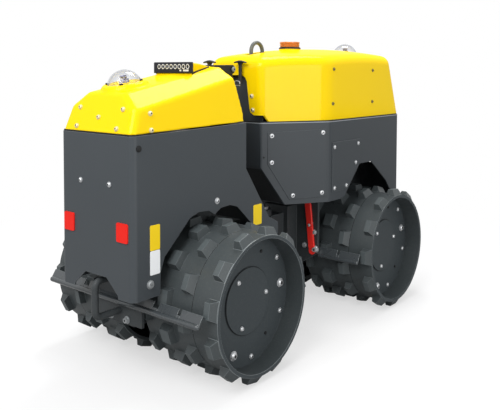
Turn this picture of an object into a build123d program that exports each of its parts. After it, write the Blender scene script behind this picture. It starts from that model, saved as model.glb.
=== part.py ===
from build123d import *
import math
import os

os.makedirs("parts", exist_ok=True)

# Trench roller: two halves joined by a vertical steering pin, each on a pair of padfoot drums.
# Millimetres. X runs along the machine with the engine half at +X, Y across it, Z up.
# The origin is on the ground under the steering pin. END is -1 for the control half, +1 for the engine half.

# Driving dimensions: drums
axle_x = 477.5
pad_tip_radius = 260.0
axle_z = pad_tip_radius
shell_radius = 235.0
shell_wall = 12.0
drum_inner_y = 75.0
drum_seam_y = 300.0
drum_outer_y = 410.0
end_disc_y = 280.0
end_disc_wall = 12.0
extension_disc_y = 323.0
extension_disc_wall = 12.0
cover_radius = 115.0
cover_wall = 5.0

# Driving dimensions: pads of a drum
pads_per_row = 12
pad_base_length = 67.0
pad_top_length = 51.0
pad_root_sink = 4.0

# Driving dimensions: axle and running fit
spindle_radius = 45.0
spindle_clearance = 0.05
motor_radius = 120.0
motor_inner_y = 95.0
motor_outer_y = 250.0
hub_radius = 80.0
hub_inner_y = 256.0

# Driving dimensions: frames
beam_half_width = 66.0
beam_bottom_z = 180.0
beam_top_z = 455.0
cross_plate_x = 200.0
cross_plate_wall = 12.0
cross_plate_half_width = 179.0
cross_plate_top_z = 508.0
end_clearance = 7.5
end_plate_x = axle_x + pad_tip_radius + end_clearance
end_plate_wall = 12.0
end_plate_half_width = 113.0
end_plate_bottom_z = 190.0
end_plate_top_z = 372.0
axle_bore_clearance = 0.2
web_start_x = 340.0

# Driving dimensions: steering pin
pin_radius = 30.0
pin_clearance = 0.05
fork_radius = 55.0
ear_thickness = 26.0
knuckle_bottom_z = 300.0
knuckle_top_z = 425.0
ear_gap = 5.0
neck_half_width = 42.0
beam_end_x = 120.0
pin_head_height = 12.0
pin_head_radius = 42.0

# Driving dimensions: control half housing
end_overhang = 110.0
rear_end_x = end_plate_x + end_overhang
rear_half_width = 185.0
rear_bend_radius = 22.0
rear_front_x = 305.0
rear_top_z = 838.0
rear_housing_front_z = 851.0
panel_wall = 6.0
tank_margin = 20.0

# Driving dimensions: engine half housing
nose_x = -155.0
nose_half_width = 133.0
flank_start_x = 100.0
flank_half_width = 292.0
flank_end_x = 690.0
front_end_x = rear_end_x
front_end_half_width = 185.0
front_bottom_z = 508.0
front_top_z = 838.0
nose_slant_z = 664.0
nose_slant_x = -66.0

rear_floor_z = 560.0
front_floor_z = 644.0

# Driving dimensions: hoods
hood_gap = 4.0
hood_wall = 8.0
hood_inset = 4.0


# Plane helpers
def side_plane(y):
    """Plane facing -Y at the given y: its x is X and its y is Z."""
    return Plane(origin=(0, y, 0), x_dir=(1, 0, 0), z_dir=(0, -1, 0))


def side_prism(points, y_low, y_high):
    """A profile in X and Z, solid from y_low to y_high."""
    outline = side_plane(y_high) * make_face(Polyline(*points, close=True))
    return extrude(outline, amount=y_high - y_low)


def plan_prism(points, z_low, z_high):
    """A profile in X and Y, solid from z_low to z_high."""
    outline = Plane.XY.offset(z_low) * make_face(Polyline(*points, close=True))
    return extrude(outline, amount=z_high - z_low)


def end_prism(points, x_low, x_high):
    """A profile in Y and Z, solid from x_low to x_high."""
    plane = Plane(origin=(x_low, 0, 0), x_dir=(0, 1, 0), z_dir=(1, 0, 0))
    return extrude(plane * make_face(Polyline(*points, close=True)), amount=x_high - x_low)


def block(x_low, x_high, y_low, y_high, z_low, z_high):
    size = (x_high - x_low, y_high - y_low, z_high - z_low)
    middle = ((x_high + x_low) / 2, (y_high + y_low) / 2, (z_high + z_low) / 2)
    return Pos(*middle) * Box(*size)


def rod_y(radius, x, z, y_low, y_high):
    return Pos(x, (y_low + y_high) / 2, z) * Rot(90, 0, 0) * Cylinder(radius, y_high - y_low)


def rod_z(radius, x, y, z_low, z_high):
    return Pos(x, y, (z_low + z_high) / 2) * Cylinder(radius, z_high - z_low)


def rounded_outline(points, radii, z):
    """A plan outline, mirrored over Y, whose corners get the radii of the table in turn."""
    outline = list(points) + [(x, -y) for x, y in reversed(points)]
    face = Plane.XY.offset(z) * make_face(Polyline(*outline, close=True))
    for (x, y), radius in zip(points, radii):
        corners = [v for v in face.vertices() if abs(v.X - x) < 0.5 and abs(abs(v.Y) - y) < 0.5]
        face = fillet(corners, radius)
    return face


def drawn_in(face, amount):
    """The outline set inward by an amount, such as a wall."""
    return face if amount == 0 else offset(face, amount=-amount, kind=Kind.INTERSECTION)


def level_edges(shape, above_z, steepness=0.45):
    """Edges of a roof: above a height and nearly level."""
    return [edge for edge in shape.edges() if edge.center().Z > above_z and abs((edge % 0.5).Z) < steepness]


def save(name, shape):
    shape = Part() + shape if not isinstance(shape, Part) else shape
    export_step(shape, f"parts/{name}.step")


# Drums: a padded inner shell, a bolt-on padded extension and a round cover in it
# Rows of pads: name, inner edge of the top, outer edge of the top, base edges, angle of the first pad
PAD_ROWS = (
    ("inner", 90.0, 112.0, 76.0, 115.0, 5.0),
    ("middle", 166.0, 206.0, 163.0, 213.0, 20.0),
    ("seam", 260.0, 282.0, 257.0, 299.5, 5.0),
    ("rim", 370.0, 393.0, 367.0, 409.0, 20.0),
)


def drum_frame(end, side):
    """Local frame of a drum: z runs outward along its axle."""
    return Plane(origin=(end * axle_x, 0, axle_z), x_dir=(1, 0, 0), z_dir=(0, side, 0))


def pad(top_in, top_out, base_in, base_out):
    """One pad on the local +X side of a drum, its axle along local Z."""
    base = Plane(origin=(shell_radius - pad_root_sink, 0, 0), x_dir=(0, 1, 0), z_dir=(1, 0, 0))
    top = Plane(origin=(math.sqrt(pad_tip_radius**2 - (pad_top_length / 2) ** 2), 0, 0), x_dir=(0, 1, 0), z_dir=(1, 0, 0))
    low = base * Pos(0, (base_in + base_out) / 2) * Rectangle(pad_base_length, base_out - base_in)
    high = top * Pos(0, (top_in + top_out) / 2) * Rectangle(pad_top_length, top_out - top_in)
    return loft([low, high], ruled=True)


def ring_of_pads(row, side, phase):
    name, top_in, top_out, base_in, base_out, first = row
    one = pad(top_in, top_out, base_in, base_out)
    pitch = 360 / pads_per_row
    return [Rot(0, 0, -side * (first + phase + n * pitch)) * one for n in range(pads_per_row)]


def ring(radius, wall, low, high):
    outer = Pos(0, 0, (low + high) / 2) * Cylinder(radius, high - low)
    inner = Pos(0, 0, (low + high) / 2) * Cylinder(radius - wall, high - low + 2)
    return outer - inner


def disc(radius, low, high):
    return Pos(0, 0, (low + high) / 2) * Cylinder(radius, high - low)


def build_drum(end_name, end, side_name, side, phase):
    frame = drum_frame(end, side)
    bore = disc(spindle_radius + spindle_clearance, hub_inner_y - 1, end_disc_y + end_disc_wall + 1)
    shell = ring(shell_radius, shell_wall, drum_inner_y, drum_seam_y)
    shell += disc(shell_radius - shell_wall / 2, end_disc_y, end_disc_y + end_disc_wall)
    shell += disc(hub_radius, hub_inner_y, end_disc_y + end_disc_wall)
    shell -= bore
    for row in PAD_ROWS[:3]:
        shell += ring_of_pads(row, side, phase)
    save(f"drum_shell_{end_name}_{side_name}", frame * shell)

    extension = ring(shell_radius, shell_wall, drum_seam_y, drum_outer_y)
    extension += disc(shell_radius - shell_wall / 2, extension_disc_y, extension_disc_y + extension_disc_wall)
    extension += ring_of_pads(PAD_ROWS[3], side, phase)
    save(f"drum_extension_{end_name}_{side_name}", frame * extension)

    face_y = extension_disc_y + extension_disc_wall
    save(f"drum_cover_{end_name}_{side_name}", frame * disc(cover_radius, face_y, face_y + cover_wall))


# Drums: end name, end, side name, side, turn of the pads
DRUMS = (
    ("rear", -1, "right", -1, 0.0),
    ("rear", -1, "left", 1, 7.0),
    ("front", 1, "right", -1, 9.0),
    ("front", 1, "left", 1, 3.0),
)
for end_name, end, side_name, side, phase in DRUMS:
    build_drum(end_name, end, side_name, side, phase)


# Axles: a spindle through the beam with a drive motor housing inside each drum
def axle(end):
    spindle_end_y = end_disc_y + end_disc_wall
    body = rod_y(spindle_radius, end * axle_x, axle_z, -spindle_end_y, spindle_end_y)
    for side in (-1, 1):
        near, far = sorted((side * motor_inner_y, side * motor_outer_y))
        body += rod_y(motor_radius, end * axle_x, axle_z, near, far)
    return body


# Frames: a centre beam with a wide cross plate near the pin and an end plate by the outer scraper
def frame_body(end, floor_z):
    beam = block(min(end * beam_end_x, end * end_plate_x), max(end * beam_end_x, end * end_plate_x),
                 -beam_half_width, beam_half_width, beam_bottom_z, beam_top_z)
    beam = beam - rod_y(spindle_radius + axle_bore_clearance, end * axle_x, axle_z,
                        -beam_half_width - 1, beam_half_width + 1)
    near, far = sorted((end * (cross_plate_x - cross_plate_wall), end * cross_plate_x))
    beam += end_prism(CROSS_PLATE, near, far)
    near, far = sorted((end * end_plate_x, end * (end_plate_x + end_plate_wall)))
    beam += block(near, far, -end_plate_half_width, end_plate_half_width, end_plate_bottom_z, end_plate_top_z)
    near, far = sorted((end * web_start_x, end * end_plate_x))
    beam += block(near, far, -beam_half_width, beam_half_width, beam_top_z - 1, floor_z)
    return beam


CROSS_PLATE = (
    (-80.0, 194.0),
    (80.0, 194.0),
    (cross_plate_half_width, 254.0),
    (cross_plate_half_width, cross_plate_top_z),
    (-cross_plate_half_width, cross_plate_top_z),
    (-cross_plate_half_width, 254.0),
)

# Rear frame carries the fork and the pin
ears_low_z = knuckle_bottom_z - ear_gap - ear_thickness
ears_high_z = knuckle_top_z + ear_gap
pin_hole = rod_z(pin_radius, 0, 0, ears_low_z - 1, ears_high_z + ear_thickness + 1)
rear_frame = frame_body(-1, rear_floor_z)
for low in (ears_low_z, ears_high_z):
    rear_frame += rod_z(fork_radius, 0, 0, low, low + ear_thickness)
    rear_frame += block(-beam_end_x - 1, 0, -fork_radius, fork_radius, low, low + ear_thickness)
rear_frame -= pin_hole
save("rear_frame", rear_frame)

steering_pin = rod_z(pin_radius - 0.1, 0, 0, ears_low_z, ears_high_z + ear_thickness)
steering_pin += rod_z(pin_head_radius, 0, 0, ears_high_z + ear_thickness, ears_high_z + ear_thickness + pin_head_height)
save("steering_pin", steering_pin)

front_frame = frame_body(1, front_floor_z)
knuckle = rod_z(fork_radius, 0, 0, knuckle_bottom_z, knuckle_top_z)
knuckle += block(0, beam_end_x + 1, -neck_half_width, neck_half_width, knuckle_bottom_z, knuckle_top_z)
front_frame += knuckle
front_frame -= rod_z(pin_radius - 0.1 + pin_clearance, 0, 0, knuckle_bottom_z - 1, knuckle_top_z + 1)
save("front_frame", front_frame)

save("rear_axle", axle(-1))
save("front_axle", axle(1))

# Lock bar: red bar bolted to the cross plate of the engine half, for transport
lock_bar_half_width = 15.0
lock_bar_wall = 10.0
lock_bar_top = (-128.0, 480.0)
lock_bar_foot = (-152.0, 262.0)
lock_face_x = cross_plate_x - cross_plate_wall
bar_angle = math.degrees(math.atan2(lock_bar_top[1] - lock_bar_foot[1], lock_bar_top[0] - lock_bar_foot[0]))
bar_length = math.dist(lock_bar_top, lock_bar_foot)
bar_plane = Plane(origin=(lock_face_x, 0, 0), x_dir=(0, -1, 0), z_dir=(-1, 0, 0))
bar_middle = (-(lock_bar_top[0] + lock_bar_foot[0]) / 2, (lock_bar_top[1] + lock_bar_foot[1]) / 2)
bar_outline = Pos(*bar_middle) * Rot(0, 0, 180 - bar_angle) * SlotCenterToCenter(bar_length, 2 * lock_bar_half_width)
save("lock_bar", extrude(bar_plane * bar_outline, amount=lock_bar_wall))

# Scrapers: a notched blade with a round lip across each outer end, a notched plate by the cross plate
scraper_reach_y = 382.0
scraper_lip_radius = 9.0
outer_scraper_x = end_plate_x + end_plate_wall
scraper_lip_z = 262.0
scraper_plate_wall = 8.0
scraper_plate_top_z = 294.0
notch_depth = 18.0
notch_half_width = 14.0
inner_scraper_reach_y = 376.0
inner_scraper_low_z = 240.0
inner_scraper_high_z = 281.0
NOTCH_Y = (180.0, 275.0)


def outer_scraper(end):
    x = end * outer_scraper_x
    near, far = sorted((x, x + end * scraper_plate_wall))
    blade = block(near, far, -scraper_reach_y, scraper_reach_y, scraper_lip_z, scraper_plate_top_z)
    blade += rod_y(scraper_lip_radius, x + end * scraper_lip_radius, scraper_lip_z, -scraper_reach_y, scraper_reach_y)
    for middle in [side * notch for side in (-1, 1) for notch in NOTCH_Y]:
        blade -= block(near - 1, far + 1, middle - notch_half_width, middle + notch_half_width,
                       scraper_plate_top_z - notch_depth, scraper_plate_top_z + 1)
    return blade


def inner_scraper(end):
    near, far = sorted((end * (cross_plate_x - cross_plate_wall), end * (cross_plate_x - cross_plate_wall / 2)))
    plates = []
    for side in (-1, 1):
        low, high = sorted((side * cross_plate_half_width, side * inner_scraper_reach_y))
        plate = block(near, far, low, high, inner_scraper_low_z, inner_scraper_high_z)
        for notch in NOTCH_Y[1:]:
            middle = side * notch
            plate -= block(near - 1, far + 1, middle - notch_half_width, middle + notch_half_width,
                           inner_scraper_high_z - notch_depth, inner_scraper_high_z + 1)
        plates.append(plate)
    return plates


# Tie-down loops: a bent rod on each end plate
loop_rod_radius = 12.0
loop_standoff = 101.0
loop_reach_x = end_plate_x + end_plate_wall + loop_standoff
loop_low_z = 228.0
loop_high_z = 350.0
loop_bend = 24.0


def tie_loop(end):
    root_x = end * (end_plate_x + end_plate_wall)
    path = FilletPolyline((root_x, 0, loop_high_z), (end * loop_reach_x, 0, loop_high_z),
                          (end * loop_reach_x, 0, loop_low_z), (root_x, 0, loop_low_z), radius=loop_bend)
    section = Plane(origin=(root_x, 0, loop_high_z), z_dir=(end, 0, 0)) * Circle(loop_rod_radius)
    return sweep(section, path=path)


for end_name, end in (("rear", -1), ("front", 1)):
    save(f"{end_name}_outer_scraper", outer_scraper(end))
    save(f"{end_name}_inner_scraper", inner_scraper(end))
    save(f"{end_name}_tie_loop", tie_loop(end))


# Control half housing: one folded sheet round the rear end, with a wheel arch in each side
skirt_z = 315.0
# Wheel arch of the control half: distance in front of the axle, height
REAR_ARCH = (
    (-261.5, skirt_z),
    (-259.5, 390.0),
    (-241.5, 436.0),
    (-123.5, 544.0),
    (-82.5, 557.0),
    (-32.5, 554.0),
    (0.0, 536.0),
    (32.5, 554.0),
    (82.5, 557.0),
    (123.5, 544.0),
    (241.5, 436.0),
    (259.5, 400.0),
    (370.5, 400.0),
    (370.5, 446.0),
    (311.5, 476.0),
)
REAR_SIDE = (
    (-rear_end_x, skirt_z),
    *[(x - axle_x, z) for x, z in REAR_ARCH],
    (-rear_front_x, 679.0),
    (-rear_front_x, rear_housing_front_z),
    (-rear_end_x, rear_top_z),
)
END_NOTCH = ((-113.0, 300.0), (-113.0, 325.0), (-55.0, 374.0), (55.0, 374.0), (113.0, 325.0), (113.0, 300.0))
housing_overrun = 60.0


def rear_plan(inset, z_low, z_high):
    """Plan of the control half: a rectangle with rounded rear corners, drawn in by an inset."""
    width = 2 * (rear_half_width - inset)
    length = rear_end_x - inset + housing_overrun
    body = Pos(-rear_end_x + inset + length / 2, 0, (z_low + z_high) / 2) * Box(length, width, z_high - z_low)
    bends = [edge for edge in body.edges().filter_by(Axis.Z) if edge.center().X < -rear_end_x / 2]
    return fillet(bends, rear_bend_radius - inset)


rear_housing = rear_plan(0, skirt_z - 10, rear_top_z + 30) - rear_plan(panel_wall, skirt_z - 20, rear_top_z + 40)
rear_housing = rear_housing & side_prism(REAR_SIDE, -rear_half_width - 1, rear_half_width + 1)
rear_housing -= end_prism(END_NOTCH, -rear_end_x - 1, -rear_end_x + panel_wall + 1)
save("rear_housing", rear_housing)

# Floor and front bulkhead of the control half, one bent plate
inner_half = rear_half_width - panel_wall
bulkhead_x = -rear_front_x - panel_wall
rear_floor = block(-rear_end_x + panel_wall + rear_bend_radius, bulkhead_x, -inner_half, inner_half,
                   rear_floor_z, rear_floor_z + panel_wall)
bulkhead_step_z = rear_top_z + 7.0
bulkhead_top_z = rear_top_z + 147.0
bulkhead_neck = 110.0
rear_floor += block(bulkhead_x, bulkhead_x + panel_wall, -inner_half, inner_half, rear_floor_z, bulkhead_step_z)
rear_floor += block(bulkhead_x, bulkhead_x + panel_wall, -bulkhead_neck, bulkhead_neck, bulkhead_step_z - 1,
                    bulkhead_top_z)
save("rear_floor", rear_floor)

# Hydraulic tank, a plain block on that floor
tank_end_x = -rear_end_x + 65.0
tank_front_x = -rear_front_x - 35.0
tank_top_z = rear_top_z - 23.0
save("hydraulic_tank", block(tank_end_x, tank_front_x, -inner_half + tank_margin, inner_half - tank_margin,
                             rear_floor_z + panel_wall, tank_top_z))

# Rear hood: a moulded shell with leaning walls under a crowned, sloping roof, open at the front
rear_hood_base_z = rear_top_z + hood_gap
rear_hood_half_width = rear_half_width - hood_inset
rear_hood_end_x = -rear_end_x + 2.0
rear_hood_corner = 26.0
rear_hood_end_lean = 1 / 3
rear_hood_side_lean = 0.137
rear_hood_form_top_z = rear_hood_base_z + 258.0
rear_hood_form_front_x = -250.0
rear_hood_edge_radius = 22.0
# Roof: it rises forward at one slope, flat in the middle with shoulders that fall away to the walls
roof_slope = 0.19
roof_rear_x = -rear_end_x - 15.0
roof_rear_z = rear_hood_base_z + 119.7
roof_flat_half_width = 95.0
roof_wide_half_width = 230.0
roof_crown_rise = 4.0
shoulder_slope = 0.66
roof_angle = math.degrees(math.atan(roof_slope))


def roof_z(x):
    """Height of the rear hood's crown at x."""
    return roof_rear_z + roof_slope * (x - roof_rear_x)


def rear_hood_plan(z, inset):
    rise = z - rear_hood_base_z
    rear_x = rear_hood_end_x + rear_hood_end_lean * rise
    half = rear_hood_half_width - rear_hood_side_lean * rise
    points = ((rear_x, half), (rear_hood_form_front_x + 2 * inset, half))
    return drawn_in(rounded_outline(points, (rear_hood_corner,), z), inset)


def rear_roof_section(x, inset):
    """Section of the roof at x, down to below the walls, drawn in by an inset."""
    crown = roof_z(x) - inset
    ridge = crown - roof_crown_rise
    edge = ridge - shoulder_slope * (roof_wide_half_width - roof_flat_half_width)
    right_half = ((0, crown), (roof_flat_half_width - inset / 4, ridge), (roof_wide_half_width - inset / 4, edge),
                  (roof_wide_half_width - inset / 4, rear_hood_base_z - 150))
    outline = list(right_half) + [(-y, z) for y, z in reversed(right_half[1:])]
    plane = Plane(origin=(x, 0, 0), x_dir=(0, 1, 0), z_dir=(1, 0, 0))
    return plane * make_face(Polyline(*outline, close=True))


def rear_hood_form(inset):
    """The hood's whole form drawn in by an inset, its roof edges rounded."""
    low = rear_hood_plan(rear_hood_base_z - inset, inset)
    high = rear_hood_plan(rear_hood_form_top_z, inset)
    roof = loft([rear_roof_section(x, inset) for x in (roof_rear_x, rear_hood_form_front_x + 2 * inset)], ruled=True)
    form = loft([low, high], ruled=True) & roof
    edges = [edge for edge in level_edges(form, rear_hood_base_z + 40, 0.75)
             if edge.center().X < rear_hood_form_front_x - 5 and abs(edge.center().Y) > 1]
    return fillet(edges, rear_hood_edge_radius - inset)


roof_front_x = -352.0
rear_hood_opening = side_prism((
    (roof_front_x, roof_z(roof_front_x) + 60),
    (roof_front_x, rear_hood_base_z + 196),
    (-334.0, rear_hood_base_z + 135),
    (-rear_front_x - 9, rear_hood_base_z + 48),
    (-rear_front_x - 9, rear_hood_base_z - 60),
    (rear_hood_form_front_x + 60, rear_hood_base_z - 60),
    (rear_hood_form_front_x + 60, roof_z(roof_front_x) + 60),
), -rear_half_width - 20, rear_half_width + 20)


def housing_top_z(x):
    """Height of the control half's housing at x: its top edge rises towards the front."""
    return rear_top_z + (rear_housing_front_z - rear_top_z) * (x + rear_end_x) / (rear_end_x - rear_front_x)


under_hood = side_prism((
    (-rear_end_x - 20, rear_top_z - 80),
    (-rear_end_x - 20, housing_top_z(-rear_end_x - 20) + hood_gap),
    (rear_hood_form_front_x + 60, housing_top_z(rear_hood_form_front_x + 60) + hood_gap),
    (rear_hood_form_front_x + 60, rear_top_z - 80),
), -rear_half_width - 20, rear_half_width + 20)
rear_hood = rear_hood_form(0) - rear_hood_form(hood_wall) - rear_hood_opening - under_hood

# Receiver dome of the control half: a raised pad on the hood, a receiver and a clear dome, square to the roof
dome_radius = 58.0
dome_height = 44.0
dome_wall = 3.0
receiver_radius = 18.0
receiver_height = 26.0
pad_radius = 74.0
pad_skirt_radius = 85.0
rear_dome_x = -730.0
rear_pad_height = 14.0


def roof_frame(x, z, lean):
    """A frame on a roof: its z stands square to the roof, which rises forward by an angle."""
    return Pos(x, 0, z) * Rot(0, -lean, 0)


def clear_dome(seat):
    sphere_radius = (dome_radius**2 + dome_height**2) / (2 * dome_height)
    middle = Pos(0, 0, dome_height - sphere_radius)
    shell = middle * Sphere(sphere_radius) - middle * Sphere(sphere_radius - dome_wall)
    return seat * (shell & block(-100, 100, -100, 100, 0, 100))


def dome_pad(seat, depth):
    """A low raised pad with sloping sides, sunk into the roof under the seat of a dome."""
    return seat * Pos(0, 0, -depth / 2) * Cone(pad_skirt_radius, pad_radius, depth)


def receiver(seat):
    return seat * Pos(0, 0, receiver_height / 2) * Cylinder(receiver_radius, receiver_height)


rear_seat = roof_frame(rear_dome_x, roof_z(rear_dome_x) + rear_pad_height, roof_angle)
rear_hood += dome_pad(rear_seat, rear_pad_height + hood_wall)
display_x = -497.0
display_half_width = 100.0
display_wall = 8.0
display_top_z = rear_hood_base_z + 232.0
display_foot_z = roof_z(display_x) + 0.5
wedge_half_width = display_half_width - 8.0
wedge_tail_half_width = 62.0
wedge_tail_x = -378.0
wedge_side = side_prism((
    (display_x, roof_z(display_x) - hood_wall - 4),
    (display_x, display_top_z - 3),
    (display_x + 40, display_top_z - 4),
    (wedge_tail_x - 12, roof_z(wedge_tail_x) + 7),
    (wedge_tail_x, roof_z(wedge_tail_x) - 4),
), -wedge_half_width, wedge_half_width)
wedge_top = plan_prism((
    (display_x, -wedge_half_width),
    (display_x, wedge_half_width),
    (wedge_tail_x, wedge_tail_half_width),
    (wedge_tail_x, -wedge_tail_half_width),
), display_foot_z - 40, display_top_z + 20)
rear_hood += wedge_side & wedge_top
arm_inner_y = 44.0
arm_outer_y = 54.0
tongue_half_width = arm_inner_y
tongue_tip_x = -318.0
tongue_root_x = roof_front_x - 20.0
tongue_wall = 10.0
tongue_tip_z = roof_z(roof_front_x) + 1.0
rear_hood += side_prism((
    (tongue_root_x, roof_z(tongue_root_x) - tongue_wall / 2),
    (roof_front_x, roof_z(roof_front_x) - 0.5),
    (tongue_tip_x, tongue_tip_z),
    (tongue_tip_x, tongue_tip_z - tongue_wall),
    (roof_front_x, roof_z(roof_front_x) - tongue_wall - 1),
), -tongue_half_width, tongue_half_width)
save("rear_hood", rear_hood)
save("rear_dome", clear_dome(rear_seat))
save("rear_receiver", receiver(rear_seat))
save("display_panel", block(display_x - display_wall, display_x, -display_half_width, display_half_width,
                            display_foot_z, display_top_z))

# Hood arms: two flat arms beside the roof's tongue turn on pins of a bracket on the bulkhead
rear_pivot_x = -232.0
rear_pivot_z = rear_hood_base_z + 207.0
arm_round = 17.0
arm_seam = 0.1
hood_pin_radius = 8.0
arm_profile = (
    (roof_front_x + arm_seam, rear_pivot_z - 9),
    (roof_front_x + arm_seam, rear_pivot_z + arm_round - 2),
    (rear_pivot_x, rear_pivot_z + arm_round),
    (rear_pivot_x, rear_pivot_z - arm_round),
    (rear_pivot_x - 66, rear_pivot_z - 19),
    (rear_pivot_x - 98, rear_pivot_z - 14),
)
arms = []
brackets = []
bracket_profile = (
    (bulkhead_x + panel_wall, bulkhead_top_z - 95),
    (bulkhead_x + panel_wall, bulkhead_top_z),
    (rear_pivot_x - 20, rear_pivot_z + 10),
    (rear_pivot_x + 14, rear_pivot_z + 10),
    (rear_pivot_x + 14, rear_pivot_z - 22),
)
for side in (-1, 1):
    low, high = sorted((side * arm_inner_y, side * arm_outer_y))
    arm = side_prism(arm_profile, low, high) + rod_y(arm_round, rear_pivot_x, rear_pivot_z, low, high)
    arms.append(arm - rod_y(hood_pin_radius + 0.05, rear_pivot_x, rear_pivot_z, low - 1, high + 1))
    near, far = sorted((side * (arm_inner_y - 12), side * (arm_inner_y - 2)))
    bracket = side_prism(bracket_profile, near, far)
    near, far = sorted((side * (arm_inner_y - 12), side * (arm_outer_y + 4)))
    brackets.append(bracket + rod_y(hood_pin_radius, rear_pivot_x, rear_pivot_z, near, far))
save("rear_hood_arms", Part() + arms)
save("rear_hood_bracket", Part() + brackets)


# Latches: a T handle on a stem
def latch(x, y, z_low, z_high):
    stem = rod_z(7.0, x, y, z_low, z_high - 4)
    return stem + Pos(x, y, z_high - 5) * Box(14, 50, 10)


rear_latch_x = -338.0
rear_latch_y = -30.0
rear_latch_seat = tongue_tip_z + 0.1
save("rear_latch", latch(rear_latch_x, rear_latch_y, rear_latch_seat, rear_pivot_z + 34))

# Engine half housing: tapered nose, straight flanks, tapered front end, arches cut in the flanks
# Wheel arch of the engine half: distance in front of the axle, height
FRONT_ARCH = (
    (-257.5, 518.0),
    (-136.5, 640.0),
    (-32.5, 640.0),
    (105.5, 538.0),
    (137.5, 500.0),
    (241.5, 436.0),
    (259.5, 390.0),
    (261.5, skirt_z),
)
FRONT_SIDE = (
    (nose_x, front_top_z),
    (nose_x, nose_slant_z),
    (nose_slant_x, front_bottom_z),
    (axle_x - 287.5, front_bottom_z),
    *[(x + axle_x, z) for x, z in FRONT_ARCH],
    (front_end_x, skirt_z),
    (front_end_x, front_top_z),
)


# Bends of the folded sheet, in plan: nose, nose to flank, flank to end, end
FRONT_BENDS = (18.0, 30.0, 24.0, 18.0)


def front_plan(inset, z_low, z_high):
    """The engine half's plan as a block, drawn in by an inset, or let out by a negative one."""
    points = (
        (nose_x, nose_half_width),
        (flank_start_x, flank_half_width),
        (flank_end_x, flank_half_width),
        (front_end_x, front_end_half_width),
    )
    outline = drawn_in(rounded_outline(points, FRONT_BENDS, z_low), inset)
    return extrude(outline, amount=z_high - z_low, dir=(0, 0, 1))


front_housing = front_plan(0, skirt_z - 10, front_top_z) - front_plan(panel_wall, skirt_z - 20, front_top_z + 10)
front_housing = front_housing & side_prism(FRONT_SIDE, -320, 320)
front_housing -= end_prism(END_NOTCH, front_end_x - panel_wall - 1, front_end_x + 1)
grille_half_width = 150.0
grille_low_z = 560.0
grille_high_z = 790.0
front_housing -= block(front_end_x - panel_wall - 1, front_end_x + 1, -grille_half_width, grille_half_width,
                       grille_low_z, grille_high_z)
save("front_housing", front_housing)

# Radiator grille: slats in a frame that fills the window in the end panel
slat_count = 11
slat_height = 12.0
grille_rim = 14.0
grille = block(front_end_x - panel_wall, front_end_x, -grille_half_width, grille_half_width, grille_low_z, grille_high_z)
grille -= block(front_end_x - panel_wall - 1, front_end_x + 1, -grille_half_width + grille_rim,
                grille_half_width - grille_rim, grille_low_z + grille_rim, grille_high_z - grille_rim)
for slat in range(slat_count):
    z = grille_low_z + grille_rim + (slat + 0.5) * (grille_high_z - grille_low_z - 2 * grille_rim) / slat_count
    grille += block(front_end_x - panel_wall, front_end_x, -grille_half_width + 1, grille_half_width - 1,
                    z - slat_height / 2, z + slat_height / 2)
save("radiator_grille", grille)

# Floor of the engine half, one bent plate, and the bulkhead behind the hood's notch
floor_profile = (
    (nose_slant_x + 10, front_bottom_z),
    (200.0, front_bottom_z),
    (326.0, front_floor_z),
    (front_end_x - panel_wall, front_floor_z),
    (front_end_x - panel_wall, front_floor_z + panel_wall),
    (323.0, front_floor_z + panel_wall),
    (197.0, front_bottom_z + panel_wall),
    (nose_slant_x + 10, front_bottom_z + panel_wall),
)
front_floor = side_prism(floor_profile, -320, 320) & front_plan(panel_wall, 400, 700)
save("front_floor", front_floor)
front_bulkhead_x = -116.0
bulkhead_inner = 118.0
front_bulkhead_foot_z = 640.0
front_bulkhead_top_z = front_top_z + 182.0
front_bulkhead = block(front_bulkhead_x - panel_wall, front_bulkhead_x, -flank_half_width, flank_half_width,
                       front_bulkhead_foot_z, front_top_z)
front_bulkhead = front_bulkhead & front_plan(panel_wall, front_bulkhead_foot_z - 40, front_top_z + 60)
front_bulkhead += block(front_bulkhead_x - panel_wall, front_bulkhead_x, -bulkhead_inner, bulkhead_inner,
                        front_top_z - 1, front_bulkhead_top_z)
save("front_bulkhead", front_bulkhead)

# Engine, one plain block on the floor
engine_start_x = 330.0
engine_end_x = 700.0
engine_half_width = 200.0
engine_top_z = front_top_z - 8.0
save("engine", block(engine_start_x, engine_end_x, -engine_half_width, engine_half_width,
                     front_floor_z + panel_wall, engine_top_z))

# Lifting eye: a bent rod on a post from the floor, up through a slot in the hood
eye_x = -15.0
eye_half_span = 37.0
eye_rod_radius = 8.0
eye_top_z = front_top_z + 331.0
eye_base_z = front_top_z + 172.0
eye_bend = eye_half_span - 0.5
crown = eye_top_z - eye_rod_radius
eye_path = FilletPolyline((eye_x - eye_half_span, 0, eye_base_z), (eye_x - eye_half_span, 0, crown),
                          (eye_x + eye_half_span, 0, crown), (eye_x + eye_half_span, 0, eye_base_z), radius=eye_bend)
eye_section = Plane(origin=(eye_x - eye_half_span, 0, eye_base_z), z_dir=(0, 0, 1)) * Circle(eye_rod_radius)
eye = sweep(eye_section, path=eye_path)
eye_post_half_width = 10.0
eye_post_overlap = 8.0
eye += block(eye_x - eye_half_span - eye_post_overlap, eye_x + eye_half_span + eye_post_overlap,
             -eye_post_half_width, eye_post_half_width, front_bottom_z + panel_wall, eye_base_z + 1)
save("lifting_eye", eye)

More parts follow.
